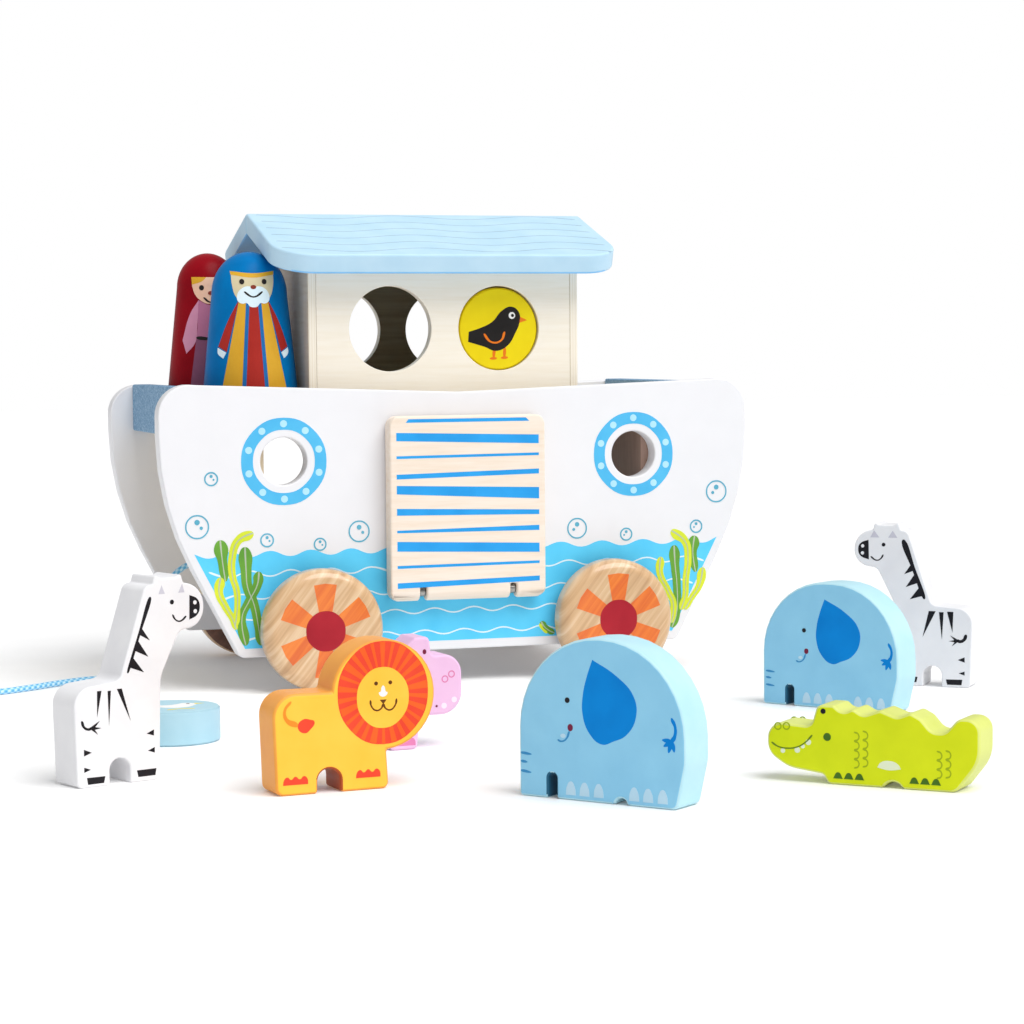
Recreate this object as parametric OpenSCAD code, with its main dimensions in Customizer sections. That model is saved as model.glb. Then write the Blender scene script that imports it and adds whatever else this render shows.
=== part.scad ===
// Wooden toy ark: a pull-along shape sorter on four wheels, with a deck house under a
// lift-off roof, a drop-down boarding ramp, two peg figures, bird discs and flat animal blocks.
// Lengths are in millimetres. X runs from bow to stern, the printed side faces -Y, the table is Z = 0.

/* [Hull] */
// Length of the hull over the side panels
hull_len = 300; // [280:1:330]
// Width of the hull over the outer faces of the side panels
hull_w = 145; // [140:1:170]
// Height of a side panel at its raised ends
side_h = 131; // [125:1:145]
// Length of the straight bottom edge of a side panel
keel_len = 224; // [190:1:236]
// Lean of the bow and stern edges from the vertical, in degrees
flare = 27.5; // [24:0.5:32]
// Bend radius of the bow and stern edges
stem_r = 139; // [90:1:150]
// Radius of the raised top corners
horn_r = 15; // [8:1:20]
// Dip of the top edge between bow and stern
sheer = 4.8; // [1:0.1:6]
// Height by which the back panel is lower than the front one
back_drop = 1.6; // [0:0.1:3]
// Thickness of the side panels
side_t = 10; // [9:0.5:12]
// Thickness of the hull floor and of the bow and stern walls
wall_t = 8; // [6:0.5:10]
// Length of the hold over the bow and stern walls
hold_len = 210; // [200:1:216]
// Height of the crossbars at bow and stern
bar_h = 24; // [22:0.5:30]
// Thickness of the crossbars along the hull
bar_t = 10; // [8:0.5:12]
// Distance from a crossbar to the end of the hull
bar_inset = 11.5; // [10:0.5:16]
// Distance by which the stern crossbar sits further in than the one at the bow
stern_bar_in = 5.5; // [0:0.5:6]
// Height of the top of the raised ends above the deck
deck_drop = 18; // [15:0.5:20]
// Thickness of the deck
deck_t = 6; // [4:0.5:8]
// Radius of the two portholes in the printed side
porthole_r = 11.5; // [8:0.5:13]
// Distance of a porthole from midships
porthole_x = 89.4; // [75:0.1:100]
// Height of the portholes above the bottom edge of the side
porthole_up = 94; // [85:0.5:98]
// Diameter of the glued dowels
dowel_d = 4; // [3:0.5:5]
// Length of the glued dowels
dowel_len = 16; // [12:1:20]

/* [Wheels] */
// Radius of the wheels
wheel_r = 29.5; // [27:0.5:33]
// Thickness of a wheel
wheel_t = 16.5; // [14:0.5:20]
// Rounding of the rim of a wheel
rim_r = 6; // [2:0.5:7]
// Distance from midships to an axle
axle_x = 74.3; // [73:0.1:78]
// Height of the axles above the bottom edge of the side
axle_up = 13.3; // [10:0.1:16]
// Diameter of the axles
axle_d = 8; // [6:0.5:10]
// Gap between a wheel and the side panel
wheel_gap = 2; // [1:0.5:4]
// Depth of the blind hole that takes the axle's end
wheel_bore_depth = 10; // [6:0.5:12]

/* [Ramp] */
// Width of the boarding ramp
ramp_w = 79; // [70:0.5:84]
// Height of the closed ramp
ramp_h = 90; // [82:0.5:94]
// Thickness of the ramp
ramp_t = 9; // [8:0.5:10]
// Height of the ramp's lower edge above the bottom edge of the side
ramp_up = 25; // [24:0.5:27]
// Gap between the closed ramp and the side
ramp_gap = 1; // [0.5:0.5:2]
// Rounding of the ramp's corners
ramp_corner_r = 5; // [2:0.5:10]
// Distance between the two hinge notches
notch_pitch = 46; // [40:1:56]
// Width of a hinge notch
notch_w = 3.4; // [3:0.1:5]
// Diameter of the steel hinge pin
pin_d = 2.5; // [2:0.1:3]
// Width of the doorway behind the ramp
door_w = 64; // [56:1:66]
// Height of the doorway
door_h = 66; // [58:1:68]
// Diameter of the catch magnets
magnet_d = 7; // [5:0.5:8]
// Thickness of the catch magnets
magnet_t = 2.5; // [1.5:0.5:3]

/* [House] */
// Length of the house over its end walls
house_l = 139; // [132:1:142]
// Depth of the house over its front and back walls
house_w = 103; // [96:1:108]
// Height of the front and back walls
house_h = 75.4; // [70:0.1:82]
// Thickness of the front and back walls
house_t = 6; // [4:0.5:8]
// Thickness of the gable end walls
gable_t = 4; // [3:0.5:6]
// Place of the house along the hull, towards the bow when negative
house_x = -2; // [-3:0.5:2]
// Radius of the round windows
window_r = 21; // [19:0.5:22]
// Distance between the centres of a wall's two windows
window_pitch = 56; // [52:0.5:60]
// Height of the window centres above the deck
window_up = 44.3; // [40:0.1:48]

/* [Roof] */
// Length of the roof along the ridge
roof_l = 177; // [165:1:180]
// Width of the roof over its eaves
roof_w = 139; // [120:1:142]
// Thickness of the roof boards
roof_t = 10; // [8:0.5:10]
// Slope of the roof, in degrees
roof_slope = 18.2; // [16:0.1:20]
// Rounding of the corners at the eaves
eave_r = 20; // [8:1:24]
// Thickness of the gable cleats under the roof
cleat_t = 6; // [4:0.5:10]
// Depth of the gable cleats below the ridge
cleat_h = 18; // [14:0.5:22]

/* [Figures and discs] */
// Height of the bearded figure
noah_h = 82.5; // [76:0.5:83]
// Radius of the bearded figure at its foot
noah_r = 23.5; // [20:0.5:24]
// Radius of the bearded figure at its shoulders
noah_shoulder_r = 18.6; // [15:0.1:19]
// Height of the figure in the red shawl
wife_h = 83.5; // [76:0.5:84]
// Radius of the figure in the red shawl at its foot
wife_r = 21; // [18:0.1:22]
// Radius of the figure in the red shawl at its shoulders
wife_shoulder_r = 15.5; // [13:0.1:17]
// Radius of the bird discs
disc_r = 20.5; // [17:0.5:20.5]
// Thickness of the bird discs
disc_t = 14.5; // [10:0.5:18]

/* [Animals] */
// Thickness of the animal blocks
animal_t = 17; // [12:0.5:20]
// Length of an elephant
elephant_l = 70; // [60:1:72]
// Height of the first elephant
elephant_h = 59.7; // [50:0.1:62]
// Height of the second elephant
elephant_back_h = 57; // [50:0.1:60]
// Length of the lion
lion_l = 65; // [58:1:68]
// Height of the lion
lion_h = 56; // [48:0.5:60]
// Length of a zebra
zebra_l = 58; // [48:1:62]
// Height of a zebra
zebra_h = 78.5; // [70:0.5:86]
// Length of the crocodile
croc_l = 83; // [74:1:88]
// Height of the crocodile
croc_h = 29.7; // [26:0.1:34]
// Length of the hippopotamus
hippo_l = 54; // [50:1:60]
// Height of the hippopotamus
hippo_h = 46; // [40:1:50]
// Width of the gap between the legs of a block
leg_gap = 9; // [6:0.5:10]

/* [Cord] */
// Diameter of the braided pull cord
cord_d = 3; // [2.5:0.1:3.2]
// Height of the cord hole above the bottom edge of the side
cord_up = 42; // [36:0.5:60]

/* [Clearances] */
// Gap at glued joints
glue_gap = 0.05; // [0.02:0.01:0.1]
// Radial gap of shafts that turn
running_gap = 0.08; // [0.02:0.01:0.1]
// Gap between pieces that only rest on each other
seat_gap = 0.2; // [0.1:0.05:0.5]
// Gap round a block in its sorter hole
sorter_gap = 1; // [0.5:0.1:1.5]
// Gap round the cord in its hole
cord_gap = 0.3; // [0.2:0.05:0.6]

/* [Hidden] */

// Round pieces are smooth enough to look at from close by
$fn = 72;
// A cut reaches this far past the face that it opens
cut = 1;
// Turn of one straight stretch of a rounded corner, in degrees
corner_step = 9;

// Heights above the table
axle_z = wheel_r;
hull_z = axle_z - axle_up;
hull_top = hull_z + side_h;
deck_z = hull_top - deck_drop;
deck_under = deck_z - deck_t;
floor_clear = 2;
floor_z = axle_z + axle_d / 2 + floor_clear;
floor_top = floor_z + wall_t;
bar_drop = 1;
bar_top = hull_top - bar_drop;

// Places across and along the hull
side_y = hull_w / 2 - side_t;
bar_x = hull_len / 2 - bar_inset - bar_t;
stern_bar_x = bar_x - stern_bar_in;

// The dip of the top edge is one long arc that ends where the raised corners begin
horn_share = 1.3;
sheer_run = hull_len / 2 - horn_share * horn_r;
sheer_tilt = atan(2 * sheer / sheer_run);
sheer_r = sheer_run / tan(sheer_tilt);
horn_up = (hull_len / 2 - sheer_run) * tan(sheer_tilt);
stem_z = (hull_len - keel_len) / 2 / tan(flare);

// The bend of the bow and stern edges ends below the rounded top corner
horn_reach = horn_r / tan((90 - sheer_tilt) / 2);
keel_r = 4;

// House and roof
house_top = deck_z + house_h;
roof_rise = tan(roof_slope);
ridge_under = house_top + seat_gap + house_w / 2 * roof_rise;
ridge_z = ridge_under + roof_t / cos(roof_slope);
gable_top = ridge_under - seat_gap;
window_z = deck_z + window_up;

// Ramp, hinge and catch
ramp_z = hull_z + ramp_up;
pin_z = ramp_z + ramp_t / 2;
ramp_y = -hull_w / 2 - ramp_gap - ramp_t / 2;
eye_wire = 1.2;
eye_r = pin_d / 2 + eye_wire;
eye_play = 0.5;
eye_t = notch_w - 2 * eye_play;
eye_shank_d = 2;
eye_shank_len = 8;
notch_top = ramp_t / 2 + eye_r + eye_play;
pin_inset = 5;
pin_len = ramp_w - 2 * pin_inset;
door_sill = 5;
door_z = pin_z + door_sill;
magnet_edge = 2.5;
magnet_z = ramp_z + ramp_h - magnet_d / 2 - magnet_edge;

// Figures stand on the deck, the bearded one beside the house and the one in the shawl behind it
noah_house_gap = 0.5;
noah_side_gap = 11;
wife_bar_gap = 1.3;
figure_gap = 5.2;
noah_at = [house_x - house_l / 2 - noah_r - noah_house_gap, -side_y + noah_r + noah_side_gap];
wife_at = [-bar_x + wife_r + wife_bar_gap, noah_at.y + noah_r + wife_r + figure_gap];

// Where each block stands: x and y of the corner of its face
zebra_left_at = [-231.3, -332.7];
lion_at = [-165.3, -376];
hippo_at = [-117.1, -283.6];
elephant_front_at = [-79.2, -403];
elephant_back_at = [104.2, -201];
zebra_right_at = [189.4, -164.7];
crocodile_at = [19.5, -403];
dove_at = [-173.2, -218.5];

// Turn of each block's face from the line of the hull, in degrees
zebra_left_turn = 21;
lion_turn = 6.5;
hippo_turn = 5;
elephant_front_turn = -51;
elephant_back_turn = -55;
zebra_right_turn = -40;
crocodile_turn = -45;

// Route of the free cord, from the bow wall down to the table and out to the coil
cord_r = cord_d / 2;
cord_z = hull_z + cord_up;
cord_exit = [-hold_len / 2, 0, cord_z];
lie_gap = 0.1;
cord_lie = cord_r + lie_gap;
knot_r = 1.5 * cord_d;
knot_lie = knot_r + lie_gap;
coil_mid = [-253, -72];
coil_r = 20;
coil_step = 3.7;
coil_rise = 3.6;
coil_turns = 1.75;
coil_rings = 24;
coil_climb = 0.5;
coil_total = 2 * coil_turns + coil_climb;
coil_nudge = 0.01;
coil_start_a = 105;
coil_leads = [16, 10, cord_d];
coil_tail_len = 17;
coil_tails = [coil_tail_len - cord_d, coil_tail_len];
cord_route = concat(
    [[-hold_len / 2 + wall_t, 0, cord_z], cord_exit],
    [
        [-112, 0, cord_z], [-119, 0, 57.2], [-125.5, 0, 54.6], [-131, 0, 50], [-135.5, 0, 44],
        [-139, 0, 37], [-142, 0, 29.5], [-145, -0.2, 22], [-148.5, -0.6, 14.5], [-153.5, -1.4, 8],
        [-160, -2.8, 3.6], [-168, -5.6, cord_lie], [-177, -9.6, cord_lie], [-186, -14.8, cord_lie],
        [-195, -21.4, cord_lie], [-203.5, -28.6, cord_lie], [-212, -34.8, cord_lie], [-221, -40.4, cord_lie]
    ],
    [for (d = coil_leads) coil_lead(d)]
);

// Outlines of the blocks, as shares of their length and height, with corner radii as shares of the height
elephant_foot = 0.95;
elephant_shape = [
    [0, 0, 0.025], [0, 1, 0.57], [1, 1, 0.585], [1.005, 0.28, 0.235], [elephant_foot, 0, 0.05]
];
lion_shape = concat(
    [[0.02, 0, 0.055], [0, 0.674, 0.16]],
    [for (a = [174 : -corner_step : -87]) [0.677 + 0.318 * cos(a), 0.63 + 0.37 * sin(a), 0]],
    [[0.706, 0, 0.045]]
);
zebra_hoof = 0.641;
zebra_shape = [
    [0.02, 0, 0.032], [0, 0.48, 0.1], [0.345, 0.5, 0.05], [0.546, 0.95, 0.045], [0.605, 0.955, 0.015],
    [0.625, 1, 0.012], [0.67, 0.985, 0.02], [0.78, 0.985, 0.02], [0.824, 1, 0.012], [0.843, 0.955, 0.015],
    [1, 0.93, 0.115], [1, 0.74, 0.1], [0.807, 0.72, 0.05], [0.657, 0.5, 0.18], [zebra_hoof, 0, 0.032]
];
croc_shape = [
    [0.295, 0, 0.085], [0.27, 0.12, 0.07], [0.1, 0.18, 0.47], [0, 0.36, 0.235], [0, 0.76, 0.2],
    [0.21, 0.72, 0.1], [0.24, 1, 0.1], [0.32, 1, 0.07], [0.36, 0.9, 0.135], [0.41, 0.97, 0.07],
    [0.46, 0.89, 0.135], [0.54, 0.97, 0.07], [0.62, 0.89, 0.135], [0.68, 0.96, 0.07], [0.73, 0.89, 0.135],
    [0.78, 0.73, 0.17], [0.84, 0.73, 0.135], [0.9, 0.92, 0.135], [1, 0.92, 0.17], [1, 0.4, 0.47],
    [0.89, 0, 0.17]
];
hippo_shape = [
    [0.02, 0, 0.055], [0, 0.86, 0.3], [0.52, 0.9, 0.17], [0.62, 1, 0.036], [0.735, 1, 0.04],
    [0.754, 0.83, 0.045], [1, 0.84, 0.17], [1, 0.295, 0.2], [0.655, 0.295, 0.08], [0.633, 0, 0.055]
];

// Gaps between the legs: the share of the length at which each starts, and its height
zebra_arch_at = 0.261;
zebra_arch_h = 10;
lion_arch_at = 0.27;
lion_arch_h = 9;
hippo_arch_at = 0.25;
hippo_arch_h = 8;
trunk_slot_at = 0.18;
trunk_slot_h = 7.5;
trunk_slot_w = 3.4;
belly_notch_at = 0.62;
belly_notch_r = 2.4;
croc_belly_at = 0.6;
croc_belly_drop = 1.5;
croc_belly_r = 4;

// Corner rounding: each corner of a closed outline [x, y, r] becomes an arc of radius r, or stays sharp
function unit(v) = v / norm(v);
function spot(p) = [p.x, p.y];
function turned(v, a) = [v.x * cos(a) - v.y * sin(a), v.x * sin(a) + v.y * cos(a)];
function wrap(a) = a > 180 ? a - 360 : a < -180 ? a + 360 : a;
function corner(p, c, n) =
    let (u = unit(spot(p) - spot(c)), v = unit(spot(n) - spot(c)), half = acos(u * v) / 2,
         mid = spot(c) + unit(u + v) * c[2] / sin(half),
         from = spot(c) + u * c[2] / tan(half) - mid, to = spot(c) + v * c[2] / tan(half) - mid,
         start = atan2(from.y, from.x), sweep = wrap(atan2(to.y, to.x) - start),
         steps = max(2, ceil(abs(sweep) / corner_step)))
    [for (i = [0 : steps]) mid + c[2] * [cos(start + sweep * i / steps), sin(start + sweep * i / steps)]];
function rounded(shape) =
    let (n = len(shape))
    [for (i = [0 : n - 1]) each shape[i][2] == 0 ? [spot(shape[i])]
        : corner(shape[(i + n - 1) % n], shape[i], shape[(i + 1) % n])];
function sized(shape, l, h) = [for (p = shape) [p.x * l, p.y * h, p[2] * h]];

// The box of the whole set on the table, so that the set stands centred on the origin
function placed_x(at, turn, l) =
    [for (u = [0, l]) for (t = [0, animal_t]) at.x + u * cos(turn) - t * sin(turn)];
function placed_y(at, turn, l) =
    [for (u = [0, l]) for (t = [0, animal_t]) at.y + u * sin(turn) + t * cos(turn)];
set_x = concat(
    placed_x(zebra_left_at, zebra_left_turn, 0),
    placed_x(zebra_right_at, zebra_right_turn, zebra_hoof * zebra_l)
);
set_y = concat(
    placed_y(crocodile_at, crocodile_turn, croc_l),
    placed_y(elephant_front_at, elephant_front_turn, elephant_foot * elephant_l),
    [hull_w / 2 + wheel_gap + wheel_t]
);
set_mid = [(min(set_x) + max(set_x)) / 2, (min(set_y) + max(set_y)) / 2, 0];

module in_set() {
    translate(-set_mid) children();
}

// Upright plate: its outline lies in X and Z, and it is t thick along +Y from y
module plate(y, t) {
    translate([0, y + t, 0]) rotate([90, 0, 0]) linear_extrude(t) children();
}

// Upright plate across the hull: its outline lies in Y and Z, and it is t thick along +X from x
module cross_plate(x, t) {
    translate([x, 0, 0]) rotate([90, 0, 90]) linear_extrude(t) children();
}

// Round hole or rod along X, from x0 to x1
module rod_x(y, z, d, x0, x1) {
    translate([x0, y, z]) rotate([0, 90, 0]) cylinder(d = d, h = x1 - x0);
}

// Round hole or rod along Y, from y0 to y1
module rod_y(x, z, d, y0, y1) {
    translate([x, y0, z]) rotate([-90, 0, 0]) cylinder(d = d, h = y1 - y0);
}

// Side panels: printed front with portholes and doorway, back with the sorter holes
module side_outline(h) {
    half = hull_len / 2;
    keel = keel_len / 2;
    horn_z = h + horn_up;
    bend = min(stem_r, (horn_z - horn_reach - stem_z) / tan(flare / 2));
    translate([0, hull_z]) polygon(rounded([
        [-keel, 0, keel_r], [keel, 0, keel_r], [half, stem_z, bend], [half, horn_z, horn_r],
        [0, h - 2 * sheer, sheer_r], [-half, horn_z, horn_r], [-half, stem_z, bend]
    ]));
}

// Dowel places along the hull and up, and on which piece they sit
dowel_spots = concat(
    [for (x = [-bar_x - bar_t / 2, stern_bar_x + bar_t / 2]) [x, bar_top - bar_h / 2]],
    [for (s = [-1, 1]) [s * (hold_len - wall_t) / 2, (floor_top + deck_under) / 2]],
    [for (s = [-0.3, 0.3]) [s * hold_len, floor_z + wall_t / 2]]
);
dowel_cover = 4;
dowel_y = hull_w / 2 - dowel_cover - dowel_len / 2;

module dowels(gap) {
    half = dowel_len / 2 + gap;
    for (p = dowel_spots)
        for (s = [-1, 1])
            rod_y(p.x, p.y, dowel_d + 2 * gap, s * dowel_y - half, s * dowel_y + half);
}

module axle_holes(y) {
    for (s = [-1, 1])
        rod_y(s * axle_x, axle_z, axle_d + 2 * running_gap, y - cut, y + side_t + cut);
}

module side_front() {
    y = -hull_w / 2;
    color("white") in_set() difference() {
        plate(y, side_t) side_outline(side_h);
        axle_holes(y);
        dowels(glue_gap);
        for (s = [-1, 1])
            rod_y(s * porthole_x, hull_z + porthole_up, 2 * porthole_r, y - cut, y + side_t + cut);
        translate([-door_w / 2, y - cut, door_z]) cube([door_w, side_t + 2 * cut, door_h]);
        rod_y(0, magnet_z, magnet_d + 2 * glue_gap, y - cut, y + magnet_t + glue_gap);
        for (s = [-1, 1])
            rod_y(s * notch_pitch / 2, pin_z, eye_shank_d + 2 * glue_gap,
                  y - cut, y + eye_shank_len + glue_gap);
    }
}

// Sorter holes take an elephant and the lion, and stand on one line above the wheels
sorter_z = axle_z + wheel_r + sorter_gap;
sorter_margin = 2;
elephant_hole_x = -hold_len / 2 + wall_t + sorter_margin;
lion_hole_x = hold_len / 2 - wall_t - sorter_margin - lion_l - 3 * sorter_gap;

module sorter_hole(shape, x, l, h) {
    wide = l + 2 * sorter_gap;
    high = h + 2 * sorter_gap;
    translate([x, 0, sorter_z]) plate(hull_w / 2 - side_t - cut, side_t + 2 * cut)
        polygon(rounded(sized(shape, wide, high)));
}

module side_back() {
    y = hull_w / 2 - side_t;
    color("white") in_set() difference() {
        plate(y, side_t) side_outline(side_h - back_drop);
        axle_holes(y);
        dowels(glue_gap);
        sorter_hole(elephant_shape, elephant_hole_x, elephant_l, elephant_h);
        sorter_hole(lion_shape, lion_hole_x, lion_l, lion_h);
    }
}

// Crossbars tie the two sides together at bow and stern
module crossbar(x) {
    difference() {
        translate([x, -side_y, bar_top - bar_h]) cube([bar_t, 2 * side_y, bar_h]);
        dowels(glue_gap);
    }
}

module bow_crossbar() {
    color("steelblue") in_set() crossbar(-bar_x - bar_t);
}

module stern_crossbar() {
    color("steelblue") in_set() crossbar(stern_bar_x);
}

// The hold: floor, bow wall with the cord's hole, stern wall
module hull_floor() {
    color("burlywood") in_set() difference() {
        translate([-hold_len / 2, -side_y, floor_z]) cube([hold_len, 2 * side_y, wall_t]);
        dowels(glue_gap);
    }
}

module hold_wall(x) {
    translate([x, -side_y, floor_top]) cube([wall_t, 2 * side_y, deck_under - floor_top]);
}

module bow_wall() {
    color("burlywood") in_set() difference() {
        hold_wall(-hold_len / 2);
        dowels(glue_gap);
        rod_x(0, cord_z, cord_d + 2 * cord_gap, -hold_len / 2 - cut, -hold_len / 2 + wall_t + cut);
    }
}

module stern_wall() {
    color("burlywood") in_set() difference() {
        hold_wall(hold_len / 2 - wall_t);
        dowels(glue_gap);
    }
}

module deck() {
    color("wheat") in_set() translate([-bar_x, -side_y, deck_under])
        cube([bar_x + stern_bar_x, 2 * side_y, deck_t]);
}

module hull_dowels() {
    color("tan") in_set() dowels(0);
}

// House: front and back walls with two round windows each, between gable ends
module house_wall(y) {
    inner = house_l - 2 * gable_t;
    difference() {
        translate([house_x - inner / 2, y, deck_z]) cube([inner, house_t, house_h]);
        for (s = [-1, 1])
            rod_y(house_x + s * window_pitch / 2, window_z, 2 * window_r, y - cut, y + house_t + cut);
    }
}

module house_front() {
    color("wheat") in_set() house_wall(-house_w / 2);
}

module house_back() {
    color("wheat") in_set() house_wall(house_w / 2 - house_t);
}

module gable(x) {
    w = house_w / 2;
    cross_plate(x, gable_t)
        polygon([[-w, deck_z], [w, deck_z], [w, house_top], [0, gable_top], [-w, house_top]]);
}

module house_bow_gable() {
    color("wheat") in_set() gable(house_x - house_l / 2);
}

module house_stern_gable() {
    color("wheat") in_set() gable(house_x + house_l / 2 - gable_t);
}

// Roof: two boards with rounded eave corners, mitred at the ridge and held by two cleats
module roof_board(s) {
    run = roof_w / 2 / cos(roof_slope);
    over = roof_t;
    intersection() {
        translate([house_x, 0, ridge_z]) rotate([-s * roof_slope, 0, 0]) translate([0, 0, -roof_t])
            linear_extrude(roof_t) scale([1, s]) polygon(rounded([
                [-roof_l / 2, -over, 0], [roof_l / 2, -over, 0],
                [roof_l / 2, run, eave_r], [-roof_l / 2, run, eave_r]
            ]));
        translate([house_x - roof_l, s > 0 ? 0 : -roof_w, deck_z]) cube([2 * roof_l, roof_w, 2 * ridge_z]);
    }
}

module roof_front_board() {
    color("lightblue") in_set() roof_board(-1);
}

module roof_back_board() {
    color("lightblue") in_set() roof_board(1);
}

cleat_gap = 1;

module cleat(x) {
    half = min(cleat_h / roof_rise, house_w / 2 - house_t - cleat_gap);
    low = ridge_under - cleat_h;
    high = ridge_under - half * roof_rise;
    cross_plate(x, cleat_t)
        polygon([[-half, low], [half, low], [half, high], [0, ridge_under], [-half, high]]);
}

module roof_bow_cleat() {
    color("lightblue") in_set() cleat(house_x - house_l / 2 + gable_t + seat_gap);
}

module roof_stern_cleat() {
    color("lightblue") in_set() cleat(house_x + house_l / 2 - gable_t - seat_gap - cleat_t);
}

// Ramp: the lower edge is a half round about the hinge pin, with two notches for the screw eyes
module ramp_board() {
    r = ramp_t / 2;
    color("burlywood") in_set() difference() {
        intersection() {
            plate(ramp_y - r, ramp_t) polygon(rounded([
                [-ramp_w / 2, ramp_z, ramp_corner_r], [ramp_w / 2, ramp_z, ramp_corner_r],
                [ramp_w / 2, ramp_z + ramp_h, ramp_corner_r], [-ramp_w / 2, ramp_z + ramp_h, ramp_corner_r]
            ]));
            union() {
                translate([-ramp_w / 2, ramp_y - r, pin_z]) cube([ramp_w, ramp_t, ramp_h]);
                rod_x(ramp_y, pin_z, ramp_t, -ramp_w / 2, ramp_w / 2);
            }
        }
        rod_x(ramp_y, pin_z, pin_d + 2 * glue_gap, -pin_len / 2, pin_len / 2);
        for (s = [-1, 1])
            translate([s * notch_pitch / 2 - notch_w / 2, ramp_y - r - cut, ramp_z - cut])
                cube([notch_w, ramp_t + 2 * cut, notch_top + cut]);
        rod_y(0, magnet_z, magnet_d + 2 * glue_gap, ramp_y + r - magnet_t - glue_gap, ramp_y + r + cut);
    }
}

module ramp_pin() {
    color("silver") in_set() rod_x(ramp_y, pin_z, pin_d, -pin_len / 2, pin_len / 2);
}

module ramp_magnet() {
    back = ramp_y + ramp_t / 2;
    color("gray") in_set() rod_y(0, magnet_z, magnet_d, back - magnet_t, back);
}

module hull_magnet() {
    color("gray") in_set() rod_y(0, magnet_z, magnet_d, -hull_w / 2, -hull_w / 2 + magnet_t);
}

module ramp_screw_eyes() {
    color("silver") in_set() for (s = [-1, 1])
        translate([s * notch_pitch / 2, 0, 0]) difference() {
            union() {
                rod_x(ramp_y, pin_z, 2 * eye_r, -eye_t / 2, eye_t / 2);
                rod_y(0, pin_z, eye_shank_d, ramp_y + (pin_d + eye_wire) / 2, -hull_w / 2 + eye_shank_len);
            }
            rod_x(ramp_y, pin_z, pin_d + 2 * running_gap, -eye_t, eye_t);
        }
}

// Wheels are glued on the ends of two wooden axles that turn in the sides
module wheel(x, s) {
    inner = hull_w / 2 + wheel_gap;
    depth = wheel_bore_depth + glue_gap;
    color("burlywood") in_set() translate([x, s * inner, axle_z]) rotate([-s * 90, 0, 0]) difference() {
        rotate_extrude() polygon(concat(
            [[0, 0]],
            [for (a = [-90 : 10 : 0]) [wheel_r - rim_r + rim_r * cos(a), rim_r + rim_r * sin(a)]],
            [for (a = [0 : 10 : 90]) [wheel_r - rim_r + rim_r * cos(a), wheel_t - rim_r + rim_r * sin(a)]],
            [[0, wheel_t]]
        ));
        translate([0, 0, -cut]) cylinder(d = axle_d + 2 * glue_gap, h = depth + cut);
    }
}

module axle(x) {
    reach = hull_w / 2 + wheel_gap + wheel_bore_depth;
    color("tan") in_set() rod_y(x, axle_z, axle_d, -reach, reach);
}

module bow_axle() {
    axle(-axle_x);
}

module bow_wheel_front() {
    wheel(-axle_x, -1);
}

module bow_wheel_back() {
    wheel(-axle_x, 1);
}

module stern_axle() {
    axle(axle_x);
}

module stern_wheel_front() {
    wheel(axle_x, -1);
}

module stern_wheel_back() {
    wheel(axle_x, 1);
}

// Bird discs: one rests in a front window, the other lies on the table
disc_inset = 1;
disc_edge = 0.6;

module disc() {
    cylinder(r = disc_r - disc_edge, h = disc_t);
    translate([0, 0, disc_edge]) cylinder(r = disc_r, h = disc_t - 2 * disc_edge);
}

module raven_disc() {
    drop = window_r - disc_r - seat_gap;
    color("gold") in_set()
        translate([house_x + window_pitch / 2, -house_w / 2 + disc_inset, window_z - drop])
        rotate([-90, 0, 0]) disc();
}

module dove_disc() {
    color("lightblue") in_set() translate([dove_at.x, dove_at.y, 0]) disc();
}

// Peg figures: a straight foot, a tapered body and a domed head
foot_share = 0.15;
dome_share = 1.12;
peg_edge = 0.8;

module peg(r, shoulder_r, h) {
    dome = dome_share * shoulder_r;
    rotate_extrude() polygon(concat(
        [[0, 0], [r - peg_edge, 0], [r, peg_edge], [r, foot_share * h]],
        [for (a = [0 : 6 : 90]) [shoulder_r * cos(a), h - dome + dome * sin(a)]]
    ));
}

module noah_figure() {
    color("dodgerblue") in_set() translate([noah_at.x, noah_at.y, deck_z + seat_gap])
        peg(noah_r, noah_shoulder_r, noah_h);
}

module wife_figure() {
    color("firebrick") in_set() translate([wife_at.x, wife_at.y, deck_z + seat_gap])
        peg(wife_r, wife_shoulder_r, wife_h);
}

// Animal blocks: flat cut-outs that stand on their feet, with an arched gap between the legs
module leg_arch(x, h) {
    spring = h - leg_gap / 2;
    translate([x, 0]) polygon(concat(
        [[0, -cut], [leg_gap, -cut]],
        [for (a = [0 : corner_step : 180]) [leg_gap / 2 * (1 + cos(a)), spring + leg_gap / 2 * sin(a)]]
    ));
}

module block(at, turn) {
    in_set() translate([at.x, at.y, 0]) rotate([0, 0, turn]) plate(0, animal_t) children();
}

module elephant(at, turn, h) {
    color("skyblue") block(at, turn) difference() {
        polygon(rounded(sized(elephant_shape, elephant_l, h)));
        translate([trunk_slot_at * elephant_l, -cut]) square([trunk_slot_w, trunk_slot_h + cut]);
        translate([trunk_slot_at * elephant_l + trunk_slot_w / 2, trunk_slot_h]) circle(d = trunk_slot_w);
        translate([belly_notch_at * elephant_l, 0]) circle(r = belly_notch_r);
    }
}

module zebra_profile() {
    difference() {
        polygon(rounded(sized(zebra_shape, zebra_l, zebra_h)));
        leg_arch(zebra_arch_at * zebra_l, zebra_arch_h);
    }
}

module zebra_left() {
    color("white") block(zebra_left_at, zebra_left_turn) zebra_profile();
}

module zebra_right() {
    color("white") block(zebra_right_at, zebra_right_turn)
        translate([zebra_hoof * zebra_l, 0]) scale([-1, 1]) zebra_profile();
}

module elephant_front() {
    elephant(elephant_front_at, elephant_front_turn, elephant_h);
}

module elephant_back() {
    elephant(elephant_back_at, elephant_back_turn, elephant_back_h);
}

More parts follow.
